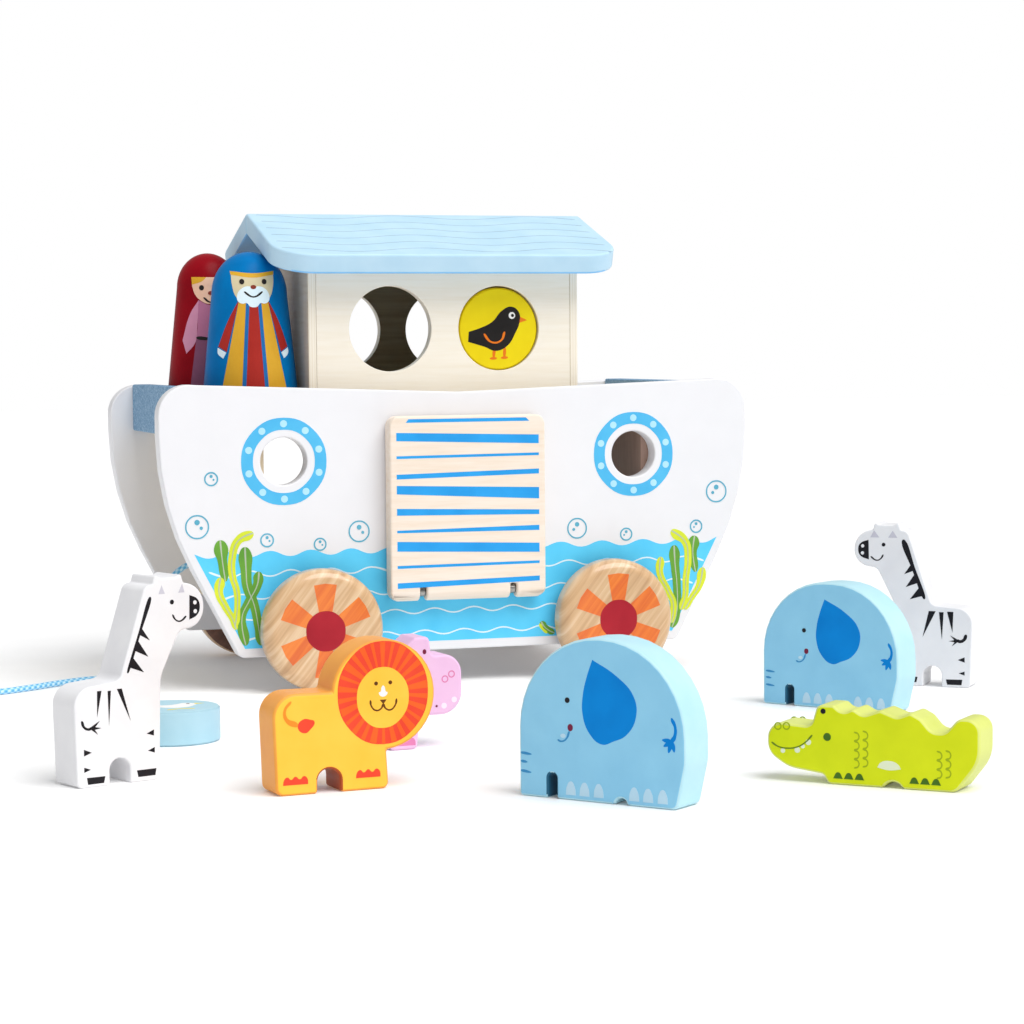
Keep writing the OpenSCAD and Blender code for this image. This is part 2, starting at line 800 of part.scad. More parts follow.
module lion() {
    color("gold") block(lion_at, lion_turn) difference() {
        polygon(rounded(sized(lion_shape, lion_l, lion_h)));
        leg_arch(lion_arch_at * lion_l, lion_arch_h);
    }
}

module hippo() {
    color("plum") block(hippo_at, hippo_turn) difference() {
        polygon(rounded(sized(hippo_shape, hippo_l, hippo_h)));
        leg_arch(hippo_arch_at * hippo_l, hippo_arch_h);
    }
}

module crocodile() {
    color("yellowgreen") block(crocodile_at, crocodile_turn) difference() {
        polygon(rounded(sized(croc_shape, croc_l, croc_h)));
        translate([croc_belly_at * croc_l, -croc_belly_drop]) circle(r = croc_belly_r);
    }
}

// Pull cord: one smooth tube along its route, then a coil of two layers wound in and out again
function tangent(path, i) = unit(path[min(i + 1, len(path) - 1)] - path[max(i - 1, 0)]);
function side_of(d) = unit(cross(d, abs(d.z) > 0.9 ? [1, 0, 0] : [0, 0, 1]));
function ring(p, d, r, sides) =
    let (a = side_of(d), b = cross(a, d))
    [for (k = [0 : sides - 1]) p + r * (cos(360 * k / sides) * a + sin(360 * k / sides) * b)];
function spline(p0, p1, p2, p3, t) =
    0.5 * (2 * p1 + (p2 - p0) * t + (2 * p0 - 5 * p1 + 4 * p2 - p3) * t * t
           + (3 * p1 - p0 - 3 * p2 + p3) * t * t * t);
function smooth(path, n) =
    let (m = len(path) - 1)
    concat([for (i = [0 : m - 1]) for (k = [0 : n - 1])
        spline(path[max(i - 1, 0)], path[i], path[i + 1], path[min(i + 2, m)], k / n)], [path[m]]);

module tube(path, r, sides) {
    n = len(path);
    points = [for (i = [0 : n - 1]) each ring(path[i], tangent(path, i), r, sides)];
    walls = [for (i = [0 : n - 2]) for (k = [0 : sides - 1])
        let (a = i * sides + k, b = i * sides + (k + 1) % sides)
        each [[a, b, b + sides], [a, b + sides, a + sides]]];
    last = (n - 1) * sides;
    caps = [for (k = [1 : sides - 2]) each [[0, k + 1, k], [last, last + k, last + k + 1]]];
    polyhedron(points, concat(walls, caps), convexity = 8);
}

// The coil turns from its start inwards on the table, climbs for half a turn, and turns outwards on top
function coil_radius(t) = coil_r - coil_step * min(t, coil_total - t);
function coil_height(t) =
    let (up = min(max(t - coil_turns, 0) / coil_climb, 1))
    cord_lie + coil_rise * (1 - cos(180 * up)) / 2;
function coil_point(t) =
    let (a = coil_start_a + 360 * t)
    [coil_mid.x + coil_radius(t) * cos(a), coil_mid.y + coil_radius(t) * sin(a), coil_height(t)];
function coil_way(t) = unit(coil_point(t + coil_nudge) - coil_point(t));
function coil_lead(d) = coil_point(0) - d * coil_way(0);
function coil_tail(d) =
    let (p = coil_point(coil_total) + d * coil_way(coil_total - coil_nudge))
    [p.x, p.y, knot_lie];
coil_path = concat(
    [coil_lead(cord_d)],
    [for (i = [0 : coil_rings * coil_total]) coil_point(i / coil_rings)],
    [for (d = coil_tails) coil_tail(d)]
);
coil_gap = min([for (i = [0 : len(coil_path) - 1]) for (j = [i + 8 : 1 : len(coil_path) - 1])
    norm(coil_path[i] - coil_path[j])]) - cord_d;
echo(least_gap_in_coil = coil_gap);
free_path = smooth(cord_route, 3);
function path_length(p) =
    [for (i = [1 : len(p) - 1]) norm(p[i] - p[i - 1])] * [for (i = [1 : len(p) - 1]) 1];
echo(cord_length = path_length(free_path) + path_length(coil_path));

module pull_cord() {
    color("deepskyblue") in_set() tube(free_path, cord_r, 8);
}

module cord_coil() {
    color("deepskyblue") in_set() tube(coil_path, cord_r, 6);
}

// Stopper knots: one inside the bow wall, one at the cord's free end
knot_seat = 0.75;

module knot() {
    rotate([0, 90, 0]) intersection() {
        translate([0, 0, knot_seat * knot_r]) sphere(r = knot_r);
        cylinder(r = 2 * knot_r, h = 4 * knot_r);
    }
}

module cord_knot() {
    color("deepskyblue") in_set() translate([-hold_len / 2 + wall_t, 0, cord_z]) knot();
}

module cord_end_knot() {
    way = coil_way(coil_total - coil_nudge);
    color("deepskyblue") in_set() translate(coil_tail(coil_tail_len)) rotate([0, 0, atan2(way.y, way.x)])
        knot();
}

side_front();
side_back();
bow_crossbar();
stern_crossbar();
hull_floor();
bow_wall();
stern_wall();
deck();
hull_dowels();
house_front();
house_back();
house_bow_gable();
house_stern_gable();
roof_front_board();
roof_back_board();
roof_bow_cleat();
roof_stern_cleat();
ramp_board();
ramp_pin();
ramp_magnet();
hull_magnet();
ramp_screw_eyes();
bow_axle();
bow_wheel_front();
bow_wheel_back();
stern_axle();
stern_wheel_front();
stern_wheel_back();
raven_disc();
dove_disc();
noah_figure();
wife_figure();
zebra_left();
lion();
hippo();
elephant_front();
elephant_back();
zebra_right();
crocodile();
pull_cord();
cord_coil();
cord_knot();
cord_end_knot();
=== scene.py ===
from math import asin, cos, pi, radians, sin, sqrt, tau

import bmesh
import bpy
from mathutils import Matrix, Vector


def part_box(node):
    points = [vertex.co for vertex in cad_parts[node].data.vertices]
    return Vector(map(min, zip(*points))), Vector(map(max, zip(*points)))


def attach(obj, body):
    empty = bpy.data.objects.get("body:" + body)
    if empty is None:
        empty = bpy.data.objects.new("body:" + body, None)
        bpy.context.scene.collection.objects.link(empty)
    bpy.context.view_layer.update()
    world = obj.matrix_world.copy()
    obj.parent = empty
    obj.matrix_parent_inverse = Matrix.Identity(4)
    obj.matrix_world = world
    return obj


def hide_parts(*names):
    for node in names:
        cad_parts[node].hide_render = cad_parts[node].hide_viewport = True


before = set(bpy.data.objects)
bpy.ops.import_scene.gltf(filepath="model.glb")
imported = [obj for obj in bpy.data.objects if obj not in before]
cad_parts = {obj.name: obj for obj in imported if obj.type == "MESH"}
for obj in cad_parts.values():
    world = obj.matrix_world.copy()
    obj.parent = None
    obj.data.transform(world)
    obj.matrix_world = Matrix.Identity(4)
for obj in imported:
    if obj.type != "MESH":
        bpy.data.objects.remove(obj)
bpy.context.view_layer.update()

# The view: a short telephoto a little above the deck and left of the bow, as the picture was taken.
# Places in this file are millimetres from midships on the table, and toy() gives them in the frame.
front_low, back_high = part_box("side_front")[0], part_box("side_back")[1]
midships = Vector(((front_low.x + back_high.x) / 2, (front_low.y + back_high.y) / 2, 0))


def toy(x, y, z):
    return midships + Vector((x, y, z)) / 1000


camera = bpy.data.objects.new("camera", bpy.data.cameras.new("camera"))
camera.data.lens = 94.94
camera.data.sensor_width = 36
camera.data.clip_start = 0.05
yaw, pitch, roll = radians(17.85), radians(3.54), radians(-0.47)
camera.matrix_world = (
    Matrix.Translation(toy(-382.4, -1338.7, 165.1))
    @ Matrix.Rotation(-yaw, 4, "Z")
    @ Matrix.Rotation(pi / 2 - pitch, 4, "X")
    @ Matrix.Rotation(roll, 4, "Z")
)
bpy.context.scene.collection.objects.link(camera)
bpy.context.scene.camera = camera

# Pull cord: a braided polyester cord, 3 mm thick and 63 cm long, that leaves the hold through the bow wall,
# drops to the table and ends in a coil. A barrel knot inside the wall and one at the free end stop it.
cord_r = 1.5
cord_z = 58.2
lie = 1.6
knot_lie = 4.6
coil_middle = (-253, -72)
coil_r, coil_step, coil_rise = 20, 3.7, 3.6
coil_turns, coil_climb, coil_start = 1.75, 0.5, radians(105)
coil_total = 2 * coil_turns + coil_climb


def coil_point(t):
    r = coil_r - coil_step * min(t, coil_total - t)
    a = coil_start + tau * t
    up = min(max(t - coil_turns, 0) / coil_climb, 1)
    z = lie + coil_rise * (1 - cos(pi * up)) / 2
    return Vector((coil_middle[0] + r * cos(a), coil_middle[1] + r * sin(a), z))


def smooth(route, steps):
    line = []
    for i in range(len(route) - 1):
        a, b, c, d = (Vector(route[min(max(k, 0), len(route) - 1)]) for k in (i - 1, i, i + 1, i + 2))
        for s in range(steps):
            t = s / steps
            line.append(0.5 * (2 * b + (c - a) * t + (2 * a - 5 * b + 4 * c - d) * t * t
                               + (3 * b - a - 3 * c + d) * t ** 3))
    return line + [Vector(route[-1])]


way_in = (coil_point(0.01) - coil_point(0)).normalized()
way_out = (coil_point(coil_total) - coil_point(coil_total - 0.01)).normalized()
coil_leads = [coil_point(0) - d * way_in for d in (16, 10)]
coil_dip, coil_tail = (coil_point(coil_total) + d * way_out for d in (14, 17))
coil_dip.z = coil_tail.z = knot_lie
free_route = [
    (-97, 0, cord_z), (-105, 0, cord_z), (-112, 0, cord_z), (-119, 0, 57.2), (-125.5, 0, 54.6),
    (-131, 0, 50), (-135.5, 0, 44), (-139, 0, 37), (-142, 0, 29.5), (-145, -0.2, 22),
    (-148.5, -0.6, 14.5), (-153.5, -1.4, 8), (-160, -2.8, 3.6), (-168, -5.6, lie), (-177, -9.6, lie),
    (-186, -14.8, lie), (-195, -21.4, lie), (-203.5, -28.6, lie), (-212, -34.8, lie), (-221, -40.4, lie),
]
turn_steps, smooth_steps = 12, 12
coil_route = [coil_point(i / turn_steps) for i in range(int(turn_steps * coil_total) + 1)]
cord_line = smooth(free_route + coil_leads + coil_route + [coil_dip, coil_tail], smooth_steps)


def linear(code):
    channels = [int(code[i:i + 2], 16) / 255 for i in (1, 3, 5)]
    return [c / 12.92 if c <= 0.04045 else ((c + 0.055) / 1.055) ** 2.4 for c in channels] + [1]


def add(tree, kind, settings=(), links=()):
    made = tree.nodes.new("ShaderNode" + kind)
    for name, value in dict(settings).items():
        if name == "ramp":
            for i, (place, code) in enumerate(value):
                stop = made.color_ramp.elements[i] if i < 2 else made.color_ramp.elements.new(place)
                stop.position, stop.color = place, linear(code)
        elif name in made.inputs:
            made.inputs[name].default_value = value
        else:
            setattr(made, name, value)
    for name, source in dict(links).items():
        tree.links.new(source, made.inputs[name])
    return made


def new_finish(name):
    made = bpy.data.materials.new(name)
    made.use_nodes = True
    made.node_tree.nodes.clear()
    return made, made.node_tree


# Braided polyester: pale strands cross sky-blue ones, dull on top and darker in the gaps between them
braid, tree = new_finish("braided_polyester")
strand = add(tree, "Attribute", {"attribute_name": "strand"})
tint = add(tree, "ValToRGB", {"ramp": [(0.0, "#55abdf"), (0.45, "#88cdf2"), (1.0, "#cfedfb")]},
           {"Fac": strand.outputs["Fac"]})
fibre = add(tree, "TexNoise", {"Scale": 2600, "Detail": 2},
            {"Vector": add(tree, "TexCoord").outputs["Object"]})
fuzz = add(tree, "Bump", {"Strength": 0.25, "Distance": 0.0002}, {"Height": fibre.outputs["Fac"]})
coat = add(tree, "BsdfPrincipled", {"Roughness": 0.7, "Sheen Weight": 0.25},
           {"Base Color": tint.outputs["Color"], "Normal": fuzz.outputs["Normal"]})
add(tree, "OutputMaterial", links={"Surface": coat.outputs["BSDF"]})
strands, strand_pitch, crossing, strand_lift = 3, 11, 3.6667, 0.1


def braided(name, line, spacing):
    # The line is walked in even steps, so that the strands keep their pitch in every bend
    points, left = [line[0]], spacing
    for a, b in zip(line, line[1:]):
        run = (b - a).length
        while left <= run:
            points.append(a.lerp(b, left / run))
            left += spacing
        left -= run
    tube = bpy.data.curves.new(name, "CURVE")
    tube.dimensions, tube.bevel_depth, tube.bevel_resolution = "3D", cord_r - strand_lift, 8
    spline = tube.splines.new("POLY")
    spline.points.add(len(points) - 1)
    for knot, p in zip(spline.points, points):
        knot.co = (*p, 1)
    holder = bpy.data.objects.new(name, tube)
    mesh = bpy.data.meshes.new_from_object(holder)
    bpy.data.objects.remove(holder)
    mesh.name = name
    bm = bmesh.new()
    bm.from_mesh(mesh)
    sides = len(bm.verts) // len(points)
    strand = bm.verts.layers.float.new("strand")
    for i, vertex in enumerate(bm.verts):
        along, around = (i // sides) * spacing, tau * (i % sides) / sides
        one = cos(strands * (around + along * tau / strand_pitch))
        other = cos(strands * (around - along * tau / strand_pitch))
        over = sin(along * tau / crossing + strands * around) > 0
        out = (vertex.co - points[i // sides]).normalized()
        vertex.co += out * strand_lift * max(one, other)
        vertex.co = midships + vertex.co / 1000
        vertex[strand] = 0.5 + 0.5 * (one - other) * (1 if over else 0.6)
    bmesh.ops.holes_fill(bm, edges=[e for e in bm.edges if e.is_boundary], sides=0)
    bmesh.ops.recalc_face_normals(bm, faces=bm.faces)
    bm.to_mesh(mesh)
    bm.free()
    mesh.materials.append(braid)
    mesh.shade_smooth()
    made = bpy.data.objects.new(name, mesh)
    bpy.context.scene.collection.objects.link(made)
    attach(made, "hull")
    return made, points


wrap_r, wrap_pitch = 2.95, 1.98


def barrel_knot(name, place, way):
    # Two and a half wraps round the cord, drawn up tight
    side = way.cross(Vector((0, 0, 1))).normalized()
    rise = side.cross(way)
    turns = [i / 40 for i in range(101)]
    line = [place + way * (cord_r + wrap_pitch * t)
            + wrap_r * (cos(tau * t) * side + sin(tau * t) * rise) for t in turns]
    return braided(name, line, 0.4)[0]


pull_cord, cord_points = braided("braided_cord", cord_line, 0.6)
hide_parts("pull_cord", "cord_coil")
wall_knot = barrel_knot("wall_knot", Vector(free_route[0]), Vector((1, 0, 0)))
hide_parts("cord_knot")
end_knot = barrel_knot("end_knot", coil_tail, Vector((way_out.x, way_out.y, 0)).normalized())
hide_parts("cord_end_knot")
cord_path = [midships + p / 1000 for p in cord_points]
cord_length = sum((b - a).length for a, b in zip(cord_path, cord_path[1:]))

# Side panels: 10 mm plywood cut to the hull's outline, filled, sprayed white and rubbed down at the edges.
# The front one has portholes and a doorway and carries the printed sea, the back one has the sorter holes.


def lacquer(name, colour, shade, sheen=0.38, shine=0.2):
    # Sprayed satin lacquer on smooth wood: nearly even colour with faint clouds about 14 mm across,
    # and a sheen broken by orange peel about 1 mm across
    made, tree = new_finish(name)
    place = add(tree, "TexCoord").outputs["Object"]
    cloud = add(tree, "TexNoise", {"Scale": 70, "Detail": 4}, {"Vector": place})
    tint = add(tree, "ValToRGB", {"ramp": [(0.32, shade), (0.68, colour)]}, {"Fac": cloud.outputs["Fac"]})
    peel = add(tree, "TexNoise", {"Scale": 900, "Detail": 2}, {"Vector": place})
    relief = add(tree, "Bump", {"Strength": 0.06, "Distance": 0.0003}, {"Height": peel.outputs["Fac"]})
    rough = add(tree, "MapRange", {"To Min": sheen - 0.05, "To Max": sheen + 0.07},
                {"Value": cloud.outputs["Fac"]})
    coat = add(tree, "BsdfPrincipled", {"IOR": 1.48, "Specular IOR Level": shine},
               {"Base Color": tint.outputs["Color"], "Roughness": rough.outputs["Result"],
                "Normal": relief.outputs["Normal"]})
    add(tree, "OutputMaterial", links={"Surface": coat.outputs["BSDF"]})
    return made


def eased(name, node, body, coats, ease, steps=3, coat_of=None):
    # A copy of the cut piece with its sharp edges rubbed down to a small round
    bm = bmesh.new()
    bm.from_mesh(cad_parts[node].data)
    bmesh.ops.remove_doubles(bm, verts=bm.verts, dist=1e-6)
    bmesh.ops.dissolve_limit(bm, angle_limit=radians(1), verts=bm.verts, edges=bm.edges)
    sharp = [e for e in bm.edges if len(e.link_faces) == 2 and e.calc_face_angle(0) > radians(38)]
    bmesh.ops.bevel(bm, geom=sharp, offset=ease / 1000, affect="EDGES", segments=steps, profile=0.5,
                    material=-1)
    bm.normal_update()
    for face in bm.faces:
        face.smooth = True
        face.material_index = coat_of(face) if coat_of else 0
    mesh = bpy.data.meshes.new(name)
    bm.to_mesh(mesh)
    bm.free()
    for coat in coats:
        mesh.materials.append(coat)
    made = bpy.data.objects.new(name, mesh)
    bpy.context.scene.collection.objects.link(made)
    made.modifiers.new("soft_edges", "WEIGHTED_NORMAL").keep_sharp = True
    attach(made, body)
    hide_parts(node)
    return made


def dot(u, v, r, tall=1):
    return [[(u + r * cos(tau * i / 8), v + tall * r * sin(tau * i / 8)) for i in range(8)]]


def ring(u, v, outer, inner):
    return dot(u, v, outer) + dot(u, v, inner)


def patch(*corners):
    return [[(u, v, 1) for u, v in corners]]


def stroke(points, wide, end=None):
    # The outline of one pull of a brush from tip to tip, with its width at the start and at the end
    line = [Vector(p) for p in points]
    end = wide if end is None else end
    line[0] += (line[1] - line[0]).normalized() * wide / 2
    line[-1] += (line[-2] - line[-1]).normalized() * end / 2
    left, right = [], []
    for i, p in enumerate(line):
        way = (line[min(i + 1, len(line) - 1)] - line[max(i - 1, 0)]).normalized()
        half = (wide + (end - wide) * i / (len(line) - 1)) / 2
        side = Vector((-way.y, way.x)) * half
        left.append(p + side)
        right.append(p - side)
        if i == 0:
            first_tip = p - way * half
    return [left + [line[-1] + way * half] + right[::-1] + [first_tip]]


def wave(start, stop, v, high, half, turn=1):
    # Crests and troughs in turn, half a wave apart
    count = round((stop - start) / half)
    return [(start + (stop - start) * i / count, v + high * turn * (-1) ** i) for i in range(count + 1)]


ink_root, ink_first, ink_step, ink_tick = -0.1, 0.04, 0.02, 0.001


def film(name, layers, place, body, cell=0):
    # Printed ink: every shape is a closed skin rooted in the wood, a few hundredths of a millimetre proud,
    # each colour above the one before. A third number in a point makes a corner of it.
    mesh = bpy.data.meshes.new(name)
    whole = bmesh.new()
    for layer, (ink, shapes) in enumerate(layers):
        mesh.materials.append(ink)
        for count, shape in enumerate(shapes):
            flat = bpy.data.curves.new(name, "CURVE")
            flat.dimensions, flat.fill_mode, flat.extrude = "2D", "BOTH", 0.5
            for loop in shape:
                spline = flat.splines.new("BEZIER")
                spline.bezier_points.add(len(loop) - 1)
                spline.use_cyclic_u, spline.resolution_u = True, 6
                for knot, point in zip(spline.bezier_points, loop):
                    knot.co = (point[0], point[1], 0)
                    knot.handle_left_type = knot.handle_right_type = "VECTOR" if len(point) > 2 else "AUTO"
            skin = bpy.data.meshes.new_from_object(bpy.data.objects.new(name, flat))
            bpy.data.curves.remove(flat)
            bm = bmesh.new()
            bm.from_mesh(skin)
            bmesh.ops.remove_doubles(bm, verts=bm.verts, dist=1e-4)
            for axis in (0, 1) if cell else ():
                places = [vertex.co[axis] for vertex in bm.verts]
                cut, across = min(places) + cell, Vector((1 - axis, axis, 0))
                while cut < max(places):
                    bmesh.ops.bisect_plane(bm, geom=bm.verts[:] + bm.edges[:] + bm.faces[:],
                                           plane_co=across * cut, plane_no=across)
                    cut += cell
            for vertex in bm.verts:
                proud = ink_first + ink_step * layer + ink_tick * (count % 15)
                vertex.co = place(vertex.co.x, vertex.co.y, proud if vertex.co.z > 0 else ink_root)
            bmesh.ops.recalc_face_normals(bm, faces=bm.faces)
            for face in bm.faces:
                face.material_index = layer
            bm.to_mesh(skin)
            bm.free()
            whole.from_mesh(skin)
            bpy.data.meshes.remove(skin)
    whole.to_mesh(mesh)
    whole.free()
    mesh.shade_smooth()
    mesh.set_sharp_from_angle(angle=radians(40))
    made = bpy.data.objects.new(name, mesh)
    bpy.context.scene.collection.objects.link(made)
    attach(made, body)


hull_white = lacquer("white_lacquer", "#ebebee", "#e9e9ec")
eased("front_side", "side_front", "hull", [hull_white], 0.8)
eased("back_side", "side_back", "hull", [hull_white], 0.8)
sea_ink = lacquer("sea_blue_ink", "#62d3fd", "#58cbf9", 0.45)
ring_ink = lacquer("porthole_blue_ink", "#57bdec", "#4db4e6", 0.45)
foam_ink = lacquer("foam_white_ink", "#e6f5fb", "#d9eff8", 0.5)
bolt_ink = lacquer("bolt_pale_ink", "#b6e6f8", "#addff3", 0.5)
weed_ink = lacquer("weed_green_ink", "#6fa83f", "#5f9a3a", 0.5)
lime_ink = lacquer("weed_lime_ink", "#dde83c", "#cfdd3a", 0.5)
rib_ink = lacquer("weed_rib_ink", "#bac7ae", "#adbca2", 0.5)
bubble_ink = lacquer("bubble_teal_ink", "#62b2cc", "#56a6bf", 0.5)
axle_x, axle_z = 74.3, 29.5
side_y = 72.5
eye_x, eye_z = 23, 45.7
clearances = [loop for x in (-axle_x, axle_x) for loop in dot(x, axle_z, 4.6)]
eye_clearances = [loop for x in (-eye_x, eye_x) for loop in dot(x, eye_z, 1.4)]
front_sea = [[
    (-109.7, 20.6, 1), (109.7, 20.6, 1), (134, 67.4, 1), *wave(39.8, 126.6, 66, 1.4, 10.85, -1)[::-1],
    (33, 65.4, 1), (33, 50.2, 1), (-33, 50.2, 1), (-33, 66.4, 1),
    *wave(-126.8, -36.8, 66, 1.4, 10, -1)[::-1], (-133.7, 66.8, 1),
], *clearances, *eye_clearances]
front_foam = [
    stroke(line, 0.7) for line in (
        wave(-126.8, -36.8, 56.6, 1.4, 10), wave(34, 127, 56.8, 1.3, 10.3),
        wave(-121, 121, 45.6, 1.3, 10.1, -1), wave(-116, 116, 35.6, 1.2, 10.1),
        wave(-111, 111, 25, 1.1, 10.1, -1))
]
# Weed: the width of each leaf at its tip and at its root, then its points from the tip down
greens = [
    (6.6, 2.8, (-121.1, 73.2), (-120.2, 63.6), (-118.8, 53.3)),
    (5.8, 3.6, (-109.1, 69.6), (-108.7, 58), (-108.2, 50.7), (-105, 41.6), (-103, 30.6), (-101.7, 22)),
    (4.8, 3.6, (-102.4, 57.6), (-103.2, 51.6), (-107.4, 43.6), (-111, 36), (-109.3, 22.2)),
    (6, 2.8, (122, 68.3), (121, 60.2), (122.5, 49.9)),
    (5, 3.6, (110.9, 63.8), (111.4, 53.6), (112.3, 44.6), (111.9, 28.4), (109.4, 22.2)),
    (3.4, 3, (39.9, 28), (41.8, 25.2), (44.4, 23.2), (47, 22)),
]
limes = [
    (4.2, 2.8, (-104.9, 76.3), (-112.4, 72.7), (-115.4, 64.4), (-115.4, 56.2), (-113.3, 48), (-113.3, 39.8),
     (-114.6, 31)),
    (4.6, 2.4, (-121.1, 55.4), (-122, 48), (-119.2, 41.6), (-115.6, 35.2), (-113.8, 30)),
    (4.4, 3, (109.4, 71.3), (117, 65.3), (118.4, 57.2), (117.2, 46.4), (116.7, 37.4), (114.4, 31)),
    (3.8, 3.2, (103.7, 58.2), (103.2, 50), (107.5, 41), (110.4, 34.7), (109.4, 24.6)),
    (4.2, 2.4, (126.5, 52.1), (124.4, 42.8), (120, 36.5), (116.4, 31)),
    (1.3, 1, (39.2, 27), (40.8, 24.2), (43.2, 22)),
]
porthole_x, porthole_z, bolt_circle, bolt_count = 89.4, 110.2, 18.1, 10
rings, bolts, bubbles = [], [], []
for x in (-porthole_x, porthole_x):
    rings.append(ring(x, porthole_z, 21, 15.2))
    for i in range(bolt_count):
        a = tau * i / bolt_count
        bolts.append(dot(x + bolt_circle * sin(a), porthole_z + bolt_circle * cos(a), 1.7))
for x, z, r in (
        (-125, 102.5, 3.4), (-132.1, 79.8, 5.8), (-98.2, 72.5, 3.4), (-72.1, 69.8, 3.2), (-52.6, 75.5, 5.3),
        (59.3, 73.8, 5.2), (85.3, 70.1, 3.3), (122.9, 73, 3.4), (133.9, 90.4, 5.6)):
    lean = 1 if x < 0 else -1
    bubbles += [ring(x, z, r, r - 0.7), dot(x, z + 0.38 * r, 0.22 * r),
                dot(x + 0.34 * r * lean, z - 0.1 * r, 0.14 * r)]
film("sea_print", [
    (sea_ink, [front_sea]), (foam_ink, front_foam), (ring_ink, rings), (bolt_ink, bolts),
    (bubble_ink, bubbles),
    (weed_ink, [stroke(leaf[2:], *leaf[:2]) for leaf in greens]),
    (lime_ink, [stroke(leaf[2:], *leaf[:2]) for leaf in limes]),
    (rib_ink, [stroke(leaf[2:], 0.6, 0.4) for leaf in greens + limes[:-1]]),
], lambda u, v, h: toy(u, -side_y - h, v), "hull")
back_sea = [[
    (-109, 21.2, 1), (109, 21.2, 1), (125.4, 52.8, 1),
    *wave(-119.9, 119.9, 52, 1.4, 10.4, -1)[::-1], (-125.4, 52.8, 1),
], *clearances]
back_foam = [stroke(wave(-reach, reach, z, 0.9, 10.2), 0.7)
             for reach, z in ((120, 44.2), (115, 36.4), (111, 28.2))]
film("back_sea_print", [(sea_ink, [back_sea]), (foam_ink, back_foam)],
     lambda u, v, h: toy(u, side_y + h, v), "hull")

# Crossbars: two short boards between the sides, stained blue so that the open grain stays as a speckle.
# They are dowelled and glued at bow and stern, flush with the tops of the sides.
# Water stain on sanded wood: dull, with pale flecks just under 1 mm across where the pores took less colour
stain, tree = new_finish("blue_stain")
place = add(tree, "TexCoord").outputs["Object"]
fleck = add(tree, "TexNoise", {"Scale": 1100, "Detail": 3, "Roughness": 0.7}, {"Vector": place})
tint = add(tree, "ValToRGB", {"ramp": [(0.3, "#3f6c93"), (0.5, "#6f99bc"), (0.7, "#b3cfe2")]},
           {"Fac": fleck.outputs["Fac"]})
relief = add(tree, "Bump", {"Strength": 0.2, "Distance": 0.0003}, {"Height": fleck.outputs["Fac"]})
coat = add(tree, "BsdfPrincipled", {"Roughness": 0.72},
           {"Base Color": tint.outputs["Color"], "Normal": relief.outputs["Normal"]})
add(tree, "OutputMaterial", links={"Surface": coat.outputs["BSDF"]})
eased("bow_bar", "bow_crossbar", "hull", [stain], 1)
eased("stern_bar", "stern_crossbar", "hull", [stain], 1)

# Hold and deck: birch plywood, sanded and left clear, glued between the sides and pinned with beech dowels.
# Thin growth lines run along the hull, and the cut edges show the plies.


def ply(name, pale, dark, along, seed):
    # Clear wood: faint growth lines 1.4 to 3.3 mm apart and 17 to 40 mm long, which differ from sheet to
    # sheet
    made, tree = new_finish(name)
    place = add(tree, "TexCoord").outputs["Object"]
    turned = add(tree, "Mapping", {"Scale": along, "Location": (seed, seed / 2, seed / 3)},
                 {"Vector": place})
    figure = add(tree, "TexNoise", {"Scale": 1, "Detail": 5, "Roughness": 0.55, "Distortion": 0.4},
                 {"Vector": turned.outputs["Vector"]})
    tint = add(tree, "ValToRGB", {"ramp": [(0.25, dark), (0.62, pale)]}, {"Fac": figure.outputs["Fac"]})
    relief = add(tree, "Bump", {"Strength": 0.1, "Distance": 0.0003}, {"Height": figure.outputs["Fac"]})
    coat = add(tree, "BsdfPrincipled", {"Roughness": 0.55, "IOR": 1.47},
               {"Base Color": tint.outputs["Color"], "Normal": relief.outputs["Normal"]})
    add(tree, "OutputMaterial", links={"Surface": coat.outputs["BSDF"]})
    return made


def underside(face):
    return 1 if face.normal.z < -0.5 else 0


birch_long = ply("clear_birch_along", "#f4e9d4", "#e4d0ae", (25, 300, 700), 3)
birch_upright = ply("clear_birch_upright", "#efe0c4", "#d9c19a", (700, 300, 25), 8)
# The stern wall's darker, redder birch is painted shade for the dim hold seen through the stern porthole
stern_wall_shade_birch = ply("stern_birch_painted_shade", "#b09182", "#9c7d6e", (700, 300, 25), 31)
eased("hold_floor", "hull_floor", "hull", [birch_long, hull_white], 0.5, 3, underside)
eased("hold_bow_wall", "bow_wall", "hull", [birch_upright], 0.5)
eased("hold_stern_wall", "stern_wall", "hull", [stern_wall_shade_birch], 0.5)
eased("deck_board", "deck", "hull", [birch_long], 0.5)


def coated(node, coat):
    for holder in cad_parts[node].material_slots:
        holder.material = coat


beech_rod = ply("turned_beech_rod", "#dfbf92", "#c79f6c", (500, 60, 500), 5)
coated("hull_dowels", beech_rod)

# House: four thin birch walls glued to the deck, with round windows bored through front and back.
# The gable ends cover the ends of the long walls, so their plies show as fine strips at the corners.
house_ply = ply("house_birch", "#faf2e3", "#f5ebd8", (30, 300, 520), 12)
gable_ply = ply("gable_birch", "#e6d8c3", "#dcc9ae", (300, 30, 520), 17)
# Sawn plywood edge: dull, with a pale and a slightly darker ply in every 1.3 mm
edge, tree = new_finish("birch_ply_edge")
place = add(tree, "TexCoord").outputs["Object"]
plies = add(tree, "TexWave", {"Scale": 240, "Distortion": 0.6, "Detail": 2, "Detail Scale": 0.4},
            {"Vector": place})
tint = add(tree, "ValToRGB", {"ramp": [(0.2, "#f1e7d3"), (0.75, "#f8f0e1")]}, {"Fac": plies.outputs["Fac"]})
coat = add(tree, "BsdfPrincipled", {"Roughness": 0.65}, {"Base Color": tint.outputs["Color"]})
add(tree, "OutputMaterial", links={"Surface": coat.outputs["BSDF"]})
raw_ply = ply("raw_birch_inside", "#b9a483", "#a38c68", (30, 300, 520), 29)


